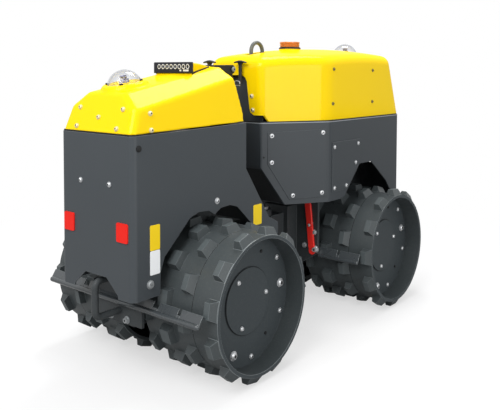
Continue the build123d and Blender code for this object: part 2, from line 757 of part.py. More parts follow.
# Access plates: two thin plates on each flank of the engine half
plate_wall = 3.0
PLATE_OUTLINES = (
    ((-130.0, 800.0), (-130.0, 672.0), (-52.0, 528.0), (84.0, 532.0), (84.0, 808.0)),
    ((118.0, 750.0), (338.0, 750.0), (338.0, 672.0), (236.0, 545.0), (118.0, 545.0)),
)
plate_margin = 8.0
skin = front_plan(-plate_wall, front_bottom_z + plate_margin, front_top_z - plate_margin)
skin -= front_plan(0, front_bottom_z, front_top_z)
plates = []
for outline in PLATE_OUTLINES:
    for low, high in ((-flank_half_width - 20, -60), (60, flank_half_width + 20)):
        plates.append(skin & side_prism(outline, low, high))
save("access_plates", Part() + plates)

# Front hood: a moulded shell with a tapered nose and a leaning end under a crowned roof
hood_base_z = front_top_z + hood_gap
hood_end_lean = 0.354
hood_form_top_z = hood_base_z + 368.0
hood_nose_half_width = nose_half_width - 2.0
hood_half_width = flank_half_width - 8.0
hood_end_half_width = front_end_half_width - 5.0
hood_edge_radius = 48.0
HOOD_CORNERS = (45.0, 160.0, 70.0, 45.0)
# Crown: the roof is turned about a far axis along Y, its section a wide arc
crown_x = 410.0
crown_z = hood_base_z + 301.0
crest_radius = 3600.0
crown_radius = 1300.0
crown_half_span = 330.0
crest_turn = 30.0


def front_hood_plan(z, inset):
    lean = hood_end_lean * (z - hood_base_z)
    points = (
        (nose_x, hood_nose_half_width),
        (flank_start_x + hood_inset, hood_half_width),
        (flank_end_x + 12 - lean, hood_half_width),
        (front_end_x - 5 - lean, hood_end_half_width),
    )
    return drawn_in(rounded_outline(points, HOOD_CORNERS, z), inset)


def hood_roof(inset):
    plane = Plane(origin=(crown_x, 0, 0), x_dir=(0, 1, 0), z_dir=(1, 0, 0))
    top = crown_z - inset
    radius = crown_radius - inset
    edge = top - radius + math.sqrt(radius**2 - crown_half_span**2)
    arc = ThreePointArc((-crown_half_span, edge), (0, top), (crown_half_span, edge))
    sides = Polyline((crown_half_span, edge), (crown_half_span, 600.0), (-crown_half_span, 600.0),
                     (-crown_half_span, edge))
    axis = Axis((crown_x, 0, crown_z - crest_radius), (0, 1, 0))
    return revolve(plane * make_face([arc, sides]), axis, crest_turn).rotate(axis, -crest_turn / 2)


def front_hood_form(inset):
    """The hood's whole form drawn in by an inset, its roof edges rounded."""
    low = front_hood_plan(hood_base_z - inset, inset)
    high = front_hood_plan(hood_form_top_z, inset)
    form = loft([low, high], ruled=True) & hood_roof(inset)
    return fillet(level_edges(form, hood_base_z + 150), hood_edge_radius - inset)


front_hood = front_hood_form(0) - front_hood_form(hood_wall)
# Notch in the nose: half width, height above the base line; its foot is round
NOTCH_HALF = (
    (104.0, -42.0),
    (104.0, 24.0),
    (92.0, 28.0),
    (82.0, 36.0),
    (76.0, 50.0),
    (62.0, 158.0),
    (54.0, 174.0),
    (38.0, 184.0),
)
notch = [(-y, hood_base_z + z) for y, z in NOTCH_HALF] + [(y, hood_base_z + z) for y, z in reversed(NOTCH_HALF)]
front_hood -= end_prism(notch, nose_x - 1, nose_x + hood_wall + 6)
eye_slot_half_width = 2 * eye_rod_radius
front_hood -= block(eye_x - eye_half_span - 38, eye_x + eye_half_span + 14, -eye_slot_half_width, eye_slot_half_width,
                    eye_base_z + 50, eye_top_z + 31)
# Under the nose the hood stops short of the housing, with a slope down to its base line
nose_step_x = -138.0
nose_step_z = hood_base_z + 25.0
nose_slope = 22.0
front_hood -= side_prism(((nose_x - 1, hood_base_z - 10), (nose_x - 1, nose_step_z), (nose_step_x, nose_step_z),
                          (nose_step_x + nose_slope, hood_base_z - 10)), -hood_half_width, hood_half_width)


def crest_z(x):
    """Height of the front hood's crown at x."""
    return crown_z - crest_radius + math.sqrt(crest_radius**2 - (x - crown_x) ** 2)


beacon_x = 220.0
beacon_seat_z = crest_z(beacon_x) + 2.5
beacon_seat_radius = 48.0
beacon_base_height = 8.0
beacon_lens_height = 24.0
beacon_radius = 45.0
front_dome_x = 690.0
front_pad_height = 2.0
front_seat = roof_frame(front_dome_x, crest_z(front_dome_x) + front_pad_height,
                        -math.degrees(math.asin((front_dome_x - crown_x) / crest_radius)))
front_hood += dome_pad(front_seat, front_pad_height + hood_wall)
front_hood += rod_z(beacon_seat_radius, beacon_x, 0, beacon_seat_z - hood_wall, beacon_seat_z)
save("front_hood", front_hood)

# Beacon and receiver dome on the front hood
beacon_lens_z = beacon_seat_z + beacon_base_height
save("beacon_base", rod_z(beacon_radius, beacon_x, 0, beacon_seat_z, beacon_lens_z))
save("beacon_lens", rod_z(beacon_radius, beacon_x, 0, beacon_lens_z, beacon_lens_z + beacon_lens_height))
save("front_dome", clear_dome(front_seat))
save("front_receiver", receiver(front_seat))
front_latch_x = -172.0
front_latch_y = -42.0
front_latch_plate_z = hood_base_z + 143.0
front_latch_plate_height = 15.0
front_latch = latch(front_latch_x, front_latch_y, front_latch_plate_z, hood_base_z + 243.0)
front_latch += block(front_latch_x, front_bulkhead_x - panel_wall, front_latch_y - 5, front_latch_y + 5,
                     front_latch_plate_z, front_latch_plate_z + front_latch_plate_height)
save("front_latch", front_latch)

# Front hinges: straps on the hood turn on pins held by lugs on the end panel
hinge_x = front_end_x + 8.0
hinge_z = front_top_z + 8.0
straps = []
lugs = []
strap_top_z = hood_base_z + 48.0
strap_wall = 8.0
strap_seam = 0.1


def hood_end_x(z):
    """Where the front hood's leaning end face is at a height."""
    return front_end_x - 5 - hood_end_lean * (z - hood_base_z)


for y in (-110.0, 110.0):
    strap = rod_y(7, hinge_x, hinge_z, y - 20, y + 20)
    strap += side_prism(((hood_end_x(hood_base_z) + strap_seam, hood_base_z), (hinge_x, hinge_z - 3),
                         (hinge_x, hinge_z + 7), (hood_end_x(hinge_z + 12) + strap_wall, hinge_z + 12),
                         (hood_end_x(strap_top_z) + strap_wall, strap_top_z),
                         (hood_end_x(strap_top_z) + strap_seam, strap_top_z)), y - 20, y + 20)
    straps.append(strap - rod_y(4.05, hinge_x, hinge_z, y - 21, y + 21))
    lug = rod_y(4, hinge_x, hinge_z, y - 34, y + 34)
    for low in (y - 34, y + 24):
        lug += side_prism(((front_end_x, front_top_z - 26), (front_end_x, front_top_z - 2), (hinge_x - 6, hinge_z + 5),
                           (hinge_x + 6, hinge_z + 5), (hinge_x + 6, hinge_z - 8)), low, low + 10)
    lugs.append(lug)
save("front_hood_straps", Part() + straps)
save("front_hinge_lugs", Part() + lugs)
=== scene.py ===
import bpy
import bmesh
import math
from mathutils import Matrix, Vector
from mathutils.bvhtree import BVHTree


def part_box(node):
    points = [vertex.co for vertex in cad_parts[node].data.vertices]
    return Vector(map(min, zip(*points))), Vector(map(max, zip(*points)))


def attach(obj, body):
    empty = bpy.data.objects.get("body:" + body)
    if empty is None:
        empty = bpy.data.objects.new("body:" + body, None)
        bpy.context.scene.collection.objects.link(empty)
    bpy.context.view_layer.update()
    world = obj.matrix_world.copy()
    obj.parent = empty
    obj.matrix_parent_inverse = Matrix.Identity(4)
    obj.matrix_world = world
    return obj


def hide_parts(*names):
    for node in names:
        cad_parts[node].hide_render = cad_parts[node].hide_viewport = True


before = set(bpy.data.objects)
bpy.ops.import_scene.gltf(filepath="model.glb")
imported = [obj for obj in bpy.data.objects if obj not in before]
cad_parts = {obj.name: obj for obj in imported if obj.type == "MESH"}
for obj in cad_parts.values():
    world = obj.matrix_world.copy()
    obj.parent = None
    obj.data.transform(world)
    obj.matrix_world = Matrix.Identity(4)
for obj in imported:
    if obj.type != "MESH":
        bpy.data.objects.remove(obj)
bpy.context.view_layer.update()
scene = bpy.context.scene

# Camera: it stands off the near corner of the control half at chest height and looks level,
# with the frame shifted down so that upright lines stay upright
camera_place = Vector((-2.2083, -1.7653, 1.0409))
camera_heading = math.radians(39.396)
camera_dip = math.radians(-2.577)
camera_roll = math.radians(0.149)
forward = Vector((math.cos(camera_dip) * math.cos(camera_heading),
                  math.cos(camera_dip) * math.sin(camera_heading),
                  math.sin(camera_dip)))
right = forward.cross(Vector((0, 0, 1))).normalized()
upward = right.cross(forward)
rolled_right = right * math.cos(camera_roll) + upward * math.sin(camera_roll)
rolled_up = upward * math.cos(camera_roll) - right * math.sin(camera_roll)
lens = bpy.data.cameras.new("corner_camera")
lens.lens = 48.13
lens.sensor_width = 36.0
lens.shift_y = -0.2071
lens.clip_end = 100.0
corner_camera = bpy.data.objects.new("corner_camera", lens)
camera_turn = Matrix((rolled_right, rolled_up, -forward)).transposed()
corner_camera.matrix_world = Matrix.Translation(camera_place) @ camera_turn.to_4x4()
scene.collection.objects.link(corner_camera)
scene.camera = corner_camera
scene.view_settings.view_transform = "Standard"


# Studio: a white room seen by the lens and by shiny faces, a softer one that lights the machine,
# and soft boxes: one high before the control end, one overhead, a low one from the right side
def feed(tree, node, terms):
    """Give a node's inputs, by name or number, a value or a socket to be joined to."""
    for key, term in terms.items():
        if isinstance(term, bpy.types.NodeSocket):
            tree.links.new(term, node.inputs[key])
        else:
            node.inputs[key].default_value = term
    return node


def put(tree, kind, **settings):
    """Add a node; each key names one of its properties or inputs."""
    node = tree.nodes.new(kind)
    for key, value in settings.items():
        if hasattr(node, key):
            setattr(node, key, value)
        else:
            feed(tree, node, {key.replace("_", " "): value})
    return node


def reckon(tree, operation, *terms):
    """Reckon with numbers or sockets; gives the result's socket."""
    return feed(tree, put(tree, "ShaderNodeMath", operation=operation), dict(enumerate(terms))).outputs[0]


def blend(tree, share, first, second):
    """Mix two colours by a share; gives the mixed colour's socket."""
    mix = put(tree, "ShaderNodeMix", data_type="RGBA")
    return feed(tree, mix, {0: share, 6: first, 7: second}).outputs[2]


room = bpy.data.worlds.new("white_room")
room.use_nodes = True
air = room.node_tree
air.nodes.clear()
rays = put(air, "ShaderNodeLightPath")
seen = reckon(air, "MAXIMUM", rays.outputs["Is Camera Ray"], rays.outputs["Is Glossy Ray"])
seen_through = reckon(air, "MAXIMUM", seen, rays.outputs["Is Transmission Ray"])
soft_light = put(air, "ShaderNodeBackground", Color=(1, 1, 1, 1), Strength=0.62)
plain_white = put(air, "ShaderNodeBackground", Color=(1, 1, 1, 1), Strength=1.0)
either = feed(air, put(air, "ShaderNodeMixShader"),
              {0: seen_through, 1: soft_light.outputs[0], 2: plain_white.outputs[0]})
put(air, "ShaderNodeOutputWorld", Surface=either.outputs[0])
scene.world = room

# Soft boxes: name, place, what it points at, width, power
for box_name, place, target, width, power in (
    ("high_box", (-3.4, -0.6, 3.4), (-0.2, 0.0, 0.7), 2.4, 125.0),
    ("top_box", (1.1, 0.2, 4.0), (0.0, 0.0, 0.7), 1.8, 90.0),
    ("side_box", (-0.9, -4.0, 1.1), (-0.4, 0.0, 0.45), 2.0, 40.0),
):
    lamp = bpy.data.lights.new(box_name, "AREA")
    lamp.size = width
    lamp.energy = power
    soft_box = bpy.data.objects.new(box_name, lamp)
    aim = (Vector(target) - Vector(place)).to_track_quat("-Z", "Y")
    soft_box.matrix_world = Matrix.Translation(place) @ aim.to_matrix().to_4x4()
    scene.collection.objects.link(soft_box)

# Floor: white paper that keeps the machine's shadow and fades into the white room further out;
# it throws back less light than it shows, so undersides stay dark
paper_reach = 14.0
paper_corners = [(paper_reach * x, paper_reach * y, 0)
                 for x, y in ((-1, -1), (1, -1), (1, 1), (-1, 1))]
paper_mesh = bpy.data.meshes.new("paper_floor")
paper_mesh.from_pydata(paper_corners, [], [(0, 1, 2, 3)])
paper_floor = bpy.data.objects.new("paper_floor", paper_mesh)
scene.collection.objects.link(paper_floor)
paper = bpy.data.materials.new("paper_white")
paper.use_nodes = True
sheet = paper.node_tree
sheet.nodes.clear()
lens_ray = put(sheet, "ShaderNodeLightPath").outputs["Is Camera Ray"]
paper_tone = blend(sheet, lens_ray, (0.42, 0.42, 0.42, 1), (0.90, 0.90, 0.905, 1))
paper_face = put(sheet, "ShaderNodeBsdfDiffuse", Color=paper_tone)
glow = put(sheet, "ShaderNodeEmission", Color=(1, 1, 1, 1), Strength=1.0)
spot = put(sheet, "ShaderNodeTexCoord").outputs["Object"]
distance = put(sheet, "ShaderNodeVectorMath", operation="LENGTH", Vector=spot).outputs["Value"]
fade = put(sheet, "ShaderNodeMapRange", Value=distance, From_Min=0.9, From_Max=2.4, To_Min=0.58, To_Max=1.0)
glow_share = reckon(sheet, "MULTIPLY", fade.outputs[0], lens_ray)
paper_seen = feed(sheet, put(sheet, "ShaderNodeMixShader"),
                  {0: glow_share, 1: paper_face.outputs[0], 2: glow.outputs[0]})
put(sheet, "ShaderNodeOutputMaterial", Surface=paper_seen.outputs[0])
paper_mesh.materials.append(paper)


# Frames: two welded centre beams with cross plate, end plate and web, powder coated dark grey.
# The control half carries the fork, the engine half the knuckle; the bare steel pin stands in both.
def tint(red, green, blue):
    """A colour as a screen shows it, from 0 to 255, turned into the renderer's own scale."""
    return tuple(((c / 255 + 0.055) / 1.055) ** 2.4 if c > 10 else c / 255 / 12.92
                 for c in (red, green, blue)) + (1.0,)


def grouped(name, kind, inputs, outputs):
    """A new node group with named inputs and outputs; gives the group, its inputs and its end."""
    tree = bpy.data.node_groups.new(name, kind)
    for way, sockets in (("INPUT", inputs), ("OUTPUT", outputs)):
        for label, sort in sockets.items():
            tree.interface.new_socket(label, in_out=way, socket_type="NodeSocket" + sort)
    return tree, put(tree, "NodeGroupInput").outputs, put(tree, "NodeGroupOutput")


def face_group():
    """Node group: cloudy tone, fine grain and faint dust of a coated or cast face."""
    group, given, made = grouped(
        "coated_face", "ShaderNodeTree",
        {"Tone": "Color", "Dust Tone": "Color", "Cloud": "Float", "Grain Size": "Float",
         "Grain Depth": "Float", "Gloss": "Float", "Gloss Spread": "Float", "Dust": "Float"},
        {"Colour": "Color", "Roughness": "Float", "Normal": "Vector"})
    place = put(group, "ShaderNodeTexCoord").outputs["Object"]
    clouds = put(group, "ShaderNodeTexNoise", Vector=place, Scale=5.0, Detail=5.0, Roughness=0.6)
    specks = put(group, "ShaderNodeTexNoise", Vector=place, Scale=160.0, Detail=3.0, Roughness=0.7)
    grain = put(group, "ShaderNodeTexNoise", Vector=place, Scale=given["Grain Size"], Detail=2.0,
                Roughness=0.6)
    lift = reckon(group, "SUBTRACT", clouds.outputs[0], 0.5)
    brightness = reckon(group, "ADD", reckon(group, "MULTIPLY", lift, given["Cloud"]), 1.0)
    toned = put(group, "ShaderNodeHueSaturation", Color=given["Tone"], Value=brightness)
    settle = put(group, "ShaderNodeMapRange", Value=specks.outputs[0], From_Min=0.52, From_Max=0.75)
    dusty = reckon(group, "MULTIPLY", settle.outputs[0], given["Dust"])
    skin = put(group, "ShaderNodeBump", Height=grain.outputs[0], Strength=given["Grain Depth"],
               Distance=0.0004)
    feed(group, made, {
        "Colour": blend(group, dusty, toned.outputs[0], given["Dust Tone"]),
        "Roughness": reckon(group, "MULTIPLY_ADD", lift, given["Gloss Spread"], given["Gloss"]),
        "Normal": skin.outputs[0]})
    return group


coated_face = face_group()


def coat(name, tone, cloud=0.12, grain=(900.0, 0.12), gloss=(0.5, 0.12), dust=0.06, metal=0.0, lacquer=0.0,
         specular=0.3, dust_tone=(120, 118, 112)):
    """A material of one finish, its tone, grain and gloss varied by the coated_face group."""
    finish = bpy.data.materials.new(name)
    finish.use_nodes = True
    tree = finish.node_tree
    face = feed(tree, put(tree, "ShaderNodeGroup", node_tree=coated_face), {
        "Tone": tint(*tone), "Dust Tone": tint(*dust_tone), "Cloud": cloud, "Grain Size": grain[0],
        "Grain Depth": grain[1], "Gloss": gloss[0], "Gloss Spread": gloss[1], "Dust": dust}).outputs
    feed(tree, tree.nodes["Principled BSDF"], {
        "Base Color": face["Colour"], "Roughness": face["Roughness"], "Normal": face["Normal"],
        "Metallic": metal, "Coat Weight": lacquer, "Coat Roughness": 0.12, "Specular IOR Level": specular})
    return finish


frame_grey = coat("frame_grey", (56, 60, 62), gloss=(0.52, 0.15), dust=0.12)
# Lighter grey of the frames' rounded edge strips: a painted highlight along the edges
frame_edge_highlight = coat("frame_edge_highlight", (78, 83, 85), gloss=(0.4, 0.15), dust=0.05)
bare_steel = coat("bare_steel", (206, 208, 210), cloud=0.1, grain=(2200.0, 0.06), gloss=(0.36, 0.08),
                  dust=0.0, metal=0.62)
# Halves of the machine: name, its way along x, body
HALVES = (("rear", -1, "rear_half"), ("front", 1, "front_half"))


def fixed_mesh(piece):
    """Keep the plain mesh that a piece's modifiers make, and drop the modifiers."""
    now = bpy.context.evaluated_depsgraph_get()
    fixed = bpy.data.meshes.new_from_object(piece.evaluated_get(now))
    piece.modifiers.clear()
    piece.data = fixed
    fixed.name = piece.name
    return fixed


def eased(piece, width, steps=2, sharp=35.0):
    """Round a piece's sharp edges; the rounded strips take its second material."""
    ease = piece.modifiers.new("ease", "BEVEL")
    ease.width = width
    ease.segments = steps
    ease.limit_method = "ANGLE"
    ease.angle_limit = math.radians(sharp)
    ease.material = 1
    weigh = piece.modifiers.new("weigh", "WEIGHTED_NORMAL")
    weigh.keep_sharp = True
    fixed_mesh(piece)


def dressed(name, node, body, finish, edge=None, width=0.002, steps=2, flatten=True, sharp=35.0):
    """A joined copy of a solid's faces with its outer edges eased, which stands for the solid."""
    flat_within = math.radians(0.7)
    crease_from = math.radians(38)
    shape = bpy.data.meshes.new(name)
    work = bmesh.new()
    work.from_mesh(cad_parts[node].data)
    bmesh.ops.remove_doubles(work, verts=work.verts, dist=1e-5)
    if flatten:
        bmesh.ops.dissolve_limit(work, angle_limit=flat_within, verts=work.verts, edges=work.edges)
    work.to_mesh(shape)
    work.free()
    for stale in ("custom_normal", "sharp_edge", "sharp_face"):
        if stale in shape.attributes:
            shape.attributes.remove(shape.attributes[stale])
    shape.materials.clear()
    shape.materials.append(finish)
    shape.materials.append(edge or finish)
    for face in shape.polygons:
        face.material_index = 0
        face.use_smooth = True
    piece = bpy.data.objects.new(name, shape)
    scene.collection.objects.link(piece)
    if width > 0:
        eased(piece, width, steps, sharp)
    else:
        shape.set_sharp_from_angle(angle=crease_from)
    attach(piece, body)
    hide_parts(node)
    return piece


for end, _, body in HALVES:
    dressed(end + "_frame_welded", end + "_frame", body, frame_grey, frame_edge_highlight, width=0.0025)
dressed("pin_turned", "steering_pin", "rear_half", bare_steel, width=0.0015)

# Axles: turned steel spindles with a cast motor housing inside each drum. They are bolted
# through the centre beams and wear the same dark paint as the frames.
for end, _, body in HALVES:
    dressed(end + "_axle_cast", end + "_axle", body, frame_grey, frame_edge_highlight, width=0.004)


# Bolts: button-head and hexagon screws on a washer, zinc plated, most with a hexagon socket drawn as a dark
# disc of painted shade.
# One mesh of like screws rides on each body, seated on the faces of its solids.
def joined(tree, *parts):
    """Join the geometry of several sockets."""
    join = put(tree, "GeometryNodeJoinGeometry")
    for part in parts:
        tree.links.new(part, join.inputs[0])
    return join.outputs[0]


def painted(tree, part, finish):
    """Give a socket's geometry a material."""
    return put(tree, "GeometryNodeSetMaterial", Geometry=part, Material=finish).outputs[0]


def bolt_tree():
    """Geometry Nodes: a washer, a tapered head and its socket, a dark disc of painted shade, at every point,
    turned to face out.
    """
    tree, given, made = grouped(
        "button_bolt", "GeometryNodeTree",
        {"Geometry": "Geometry", "Washer Radius": "Float", "Head Radius": "Float", "Head Height": "Float",
         "Head Sides": "Int", "Crown": "Float", "Socket Radius": "Float", "Finish": "Material",
         "Socket Finish": "Material"}, {"Geometry": "Geometry"})

    def raised(part, height):
        """A part of the bolt, lifted along its axis by a number or by a socket's value."""
        lift = put(tree, "ShaderNodeCombineXYZ", Z=height).outputs[0]
        return put(tree, "GeometryNodeTransform", Geometry=part.outputs["Mesh"], Translation=lift).outputs[0]

    washer_depth = 0.0022
    socket_depth = 0.0006
    wide = given["Head Radius"]
    narrow = reckon(tree, "MULTIPLY", wide, given["Crown"])
    half_height = reckon(tree, "MULTIPLY", given["Head Height"], 0.5)
    head_top = reckon(tree, "ADD", given["Head Height"], washer_depth)
    washer = put(tree, "GeometryNodeMeshCylinder", Vertices=24, Radius=given["Washer Radius"],
                 Depth=washer_depth)
    round_part = {"Vertices": given["Head Sides"], "Radius_Bottom": wide, "Depth": half_height}
    base = put(tree, "GeometryNodeMeshCone", Side_Segments=3, Radius_Top=wide, **round_part)
    crown = put(tree, "GeometryNodeMeshCone", Side_Segments=4, Radius_Top=narrow, **round_part)
    socket = put(tree, "GeometryNodeMeshCylinder", Vertices=6, Radius=given["Socket Radius"],
                 Depth=socket_depth)
    steel = joined(tree, raised(washer, washer_depth / 2), raised(base, washer_depth),
                   raised(crown, reckon(tree, "ADD", half_height, washer_depth)))
    whole = joined(tree, painted(tree, steel, given["Finish"]),
                   painted(tree, raised(socket, head_top), given["Socket Finish"]))
    outward = put(tree, "GeometryNodeInputNamedAttribute", data_type="FLOAT_VECTOR", Name="outward")
    turn = put(tree, "FunctionNodeAlignRotationToVector", axis="Z", Vector=outward.outputs[0])
    place = put(tree, "GeometryNodeInstanceOnPoints", Points=given["Geometry"], Instance=whole,
                Rotation=turn.outputs[0])
    real = put(tree, "GeometryNodeRealizeInstances", Geometry=place.outputs[0])
    feed(tree, made, {0: real.outputs[0]})
    return tree


button_bolt = bolt_tree()
# Near-black of the sockets: painted shade in the hexagon holes
socket_painted_shade = coat("socket_painted_shade", (26, 27, 28), gloss=(0.5, 0.1))


def grown(name, tree, points, settings, facing=None):
    """Run a Geometry Nodes tree over a few points and keep the plain mesh it makes."""
    seeds = bpy.data.meshes.new(name + "_seeds")
    seeds.from_pydata([tuple(p) for p in points], [], [])
    if facing:
        outward = seeds.attributes.new("outward", "FLOAT_VECTOR", "POINT")
        for index, vector in enumerate(facing):
            outward.data[index].vector = vector
    piece = bpy.data.objects.new(name, seeds)
    scene.collection.objects.link(piece)
    grow = piece.modifiers.new("grow", "NODES")
    grow.node_group = tree
    for item in tree.interface.items_tree:
        if item.item_type == "SOCKET" and item.in_out == "INPUT" and item.name in settings:
            grow[item.identifier] = settings[item.name]
    fixed_mesh(piece).set_sharp_from_angle(angle=math.radians(35))
    return piece


solid_faces = {}


def seat(node, start, toward):
    """Where a line from outside first meets a solid, and the way the face looks there."""
    if node not in solid_faces:
        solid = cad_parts[node].data
        solid_faces[node] = BVHTree.FromPolygons([v.co.copy() for v in solid.vertices],
                                                 [tuple(face.vertices) for face in solid.polygons])
    place, normal, _, _ = solid_faces[node].ray_cast(Vector(start), Vector(toward).normalized())
    if place is None:
        raise ValueError("nothing under the fixing on " + node + " at " + str(start))
    if normal.dot(Vector(toward)) > 0:
        normal = -normal
    return place, normal


def bolts(name, body, spots, washer=0.009, head=0.0065, height=0.0045, sides=20, crown=0.62, hole=0.003,
          finish=bare_steel):
    """Screws at (solid, start, direction) spots, seated on the solids' faces."""
    seats = [seat(*spot) for spot in spots]
    piece = grown(name, button_bolt, [place for place, _ in seats], {
        "Washer Radius": washer, "Head Radius": head, "Head Height": height, "Head Sides": sides,
        "Crown": crown, "Socket Radius": hole, "Finish": finish, "Socket Finish": socket_painted_shade},
        facing=[normal for _, normal in seats])
    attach(piece, body)
    return piece


def both_sides(node, spots, reach=0.6):
    """The same screws on the right and the left side: (x, z) spots aimed across the machine."""
    return [(node, (x, side * reach, z), (0, -side, 0)) for x, z in spots for side in (-1, 1)]


# Frame fixings: hexagon bolts through the cross plates on both sides of the pin, and one pair of
# plugs under each end notch, all plated steel
cross_plate_spots = ((0.142, 0.382), (0.160, 0.345), (0.109, 0.281))
for label, end, way, body in (("cross_plate_bolts", "front_frame", 1, "front_half"),
                              ("rear_cross_plate_bolts", "rear_frame", -1, "rear_half")):
    spots = [(end, (way * 0.05, side * y, z), (way, 0, 0))
             for side in (-1, 1) for y, z in cross_plate_spots]
    bolts(label, body, spots, washer=0.012, head=0.009, height=0.007, sides=6, crown=0.85, hole=0.001)
dull_zinc = coat("dull_zinc", (158, 162, 164), gloss=(0.4, 0.1), metal=0.5)
for end, way, body in HALVES:
    spots = [(end + "_frame", (way, y, 0.204), (-way, 0, 0)) for y in (-0.041, 0.041)]
    bolts(end + "_end_plugs", body, spots,
          washer=0.013, head=0.0105, height=0.010, sides=6, crown=0.86, hole=0.004, finish=dull_zinc)

# Drums: cast segments and rolled shells with welded trapezoid pads, painted dark grey. The pads' tops
# and rounded edges are a lighter grey, a painted highlight of the light they catch. A dark ring of painted
# shade marks the seam between the segments.
drum_grey = coat("drum_grey", (63, 69, 71), cloud=0.16, grain=(420.0, 0.3), gloss=(0.44, 0.18), dust=0.14,
                 specular=0.4)
disc_grey = coat("disc_grey", (64, 70, 73), cloud=0.14, grain=(420.0, 0.25), gloss=(0.52, 0.15), dust=0.1,
                 specular=0.15)
# Lighter greys of the rounded edge strips on the pads and the rim: painted highlights
drum_edge_highlight = coat("drum_edge_highlight", (95, 102, 104), cloud=0.25, grain=(420.0, 0.3), gloss=(0.36, 0.18), dust=0.05)
rim_edge_highlight = coat("rim_edge_highlight", (116, 122, 124), cloud=0.2, grain=(420.0, 0.3), gloss=(0.34, 0.18), dust=0.05)
# Lighter grey of the pads' tops: a painted highlight where they catch the light
pad_top_highlight = coat("pad_top_highlight", (78, 85, 87), cloud=0.2, grain=(420.0, 0.3), gloss=(0.42, 0.18), dust=0.1,
                specular=0.4)
# Near-black of painted shade in grooves and holes, and of the black side plugs; dark grey of the painted
# shade in the gap round each cover
painted_shade_and_plug_black = coat("painted_shade_and_plug_black", (24, 26, 27), gloss=(0.6, 0.1))
cover_gap_shade = coat("cover_gap_shade", (36, 40, 42), gloss=(0.6, 0.1))
axle_x = 0.4775
axle_z = 0.26
# Where finishes change, by distance from the axle and by depth along it
pad_face_out = 0.250
shell_edge_out = 0.2365
disc_out = 0.236
disc_corner_out = 0.232
disc_deep = 0.345
# Drums: end, its way along x, side, its way along y, turn of the face's fixings in degrees
DRUMS = (
    ("rear", -1, "right", -1, 0.0),
    ("rear", -1, "left", 1, 7.0),
    ("front", 1, "right", -1, 9.0),
    ("front", 1, "left", 1, 3.0),
)
# Seams of a drum, dark rings of painted shade: name, section of (radius, y), finish
DRUM_SEAMS = (
    ("cover_seam_shade_", ((0.1156, 0.335), (0.1156, 0.3356), (0.1174, 0.3356), (0.1174, 0.335)), cover_gap_shade),
    ("segment_seam_shade_", ((0.2330, 0.2982), (0.2351, 0.2982), (0.2351, 0.3006), (0.2330, 0.3006)),
     painted_shade_and_plug_black),
)
# Fixings of a drum's outer face: name, solid, radius on it, first angle, how many, washer, head,
# height, socket, finish
FACE_FIXINGS = (
    ("flange_bolts_", "drum_extension_", 0.200, 35.5, 6, 0.0095, 0.0075, 0.005, 0.0035, bare_steel),
    ("drain_plugs_", "drum_extension_", 0.183, 6.0, 3, 0.0165, 0.0135, 0.008, 0.006, bare_steel),
    ("cover_rivets_", "drum_cover_", 0.093, 6.0, 3, 0.0085, 0.008, 0.0055, 0.0012, bare_steel),
    # The jack holes are dark discs of painted shade in place of the holes
    ("jack_holes_", "drum_extension_", 0.172, 65.0, 3, 0.006, 0.005, 0.0012, 0.004, painted_shade_and_plug_black),
)


def skinned(work, rings, looped=False, capped=False):
    """Faces between rings of corners in turn; a ring of one corner is a pole."""
    around = max(len(ring) for ring in rings)
    after = rings[1:] + rings[:1] if looped else rings[1:]
    for low, high in zip(rings, after):
        for step in range(around):
            corners = []
            for corner in (low[step % len(low)], low[(step + 1) % len(low)],
                           high[(step + 1) % len(high)], high[step % len(high)]):
                if corner not in corners:
                    corners.append(corner)
            if len(corners) > 2:
                work.faces.new(corners)
    if capped:
        work.faces.new(rings[0][::-1])
        work.faces.new(rings[-1])


def settled(name, work, body, finish, edge=None, width=0.0, sharp=35.0, smooth=True):
    """Turn a built mesh's faces outwards, ease its edges and hang it on a body."""
    bmesh.ops.recalc_face_normals(work, faces=work.faces)
    shape = bpy.data.meshes.new(name)
    work.to_mesh(shape)
    work.free()
    shape.materials.append(finish)
    shape.materials.append(edge or finish)
    for face in shape.polygons:
        face.use_smooth = smooth
    shape.set_sharp_from_angle(angle=math.radians(sharp))
    piece = bpy.data.objects.new(name, shape)
    scene.collection.objects.link(piece)
    if width > 0:
        eased(piece, width, 2, sharp)
    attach(piece, body)
    return piece


def ring_of(work, steps, place):
    """A closed ring of corners, each placed by its cosine and sine."""
    turns = [2 * math.pi * step / steps for step in range(steps)]
    return [work.verts.new(place(math.cos(turn), math.sin(turn))) for turn in turns]


def seam_ring(name, body, centre, side, section, finish):
    """A thin ring round the drum's axle with a section of (radius, y)."""
    work = bmesh.new()
    rings = [ring_of(work, 96, lambda c, s: (centre[0] + radius * c, side * y, centre[1] + radius * s))
             for radius, y in section]
    skinned(work, rings, looped=True)
    settled(name, work, body, finish)


def highlight_pad_tops(piece, centre, slot_number):
    """Give the tops of a drum's pads the finish in one of its material slots, a lighter grey that is their
    painted highlight.
    """
    piece.data.materials.append(pad_top_highlight)
    for face in piece.data.polygons:
        out = math.hypot(face.center.x - centre[0], face.center.z - centre[1])
        if face.material_index == 0 and out > pad_face_out and abs(face.normal.y) < 0.3:
            face.material_index = slot_number


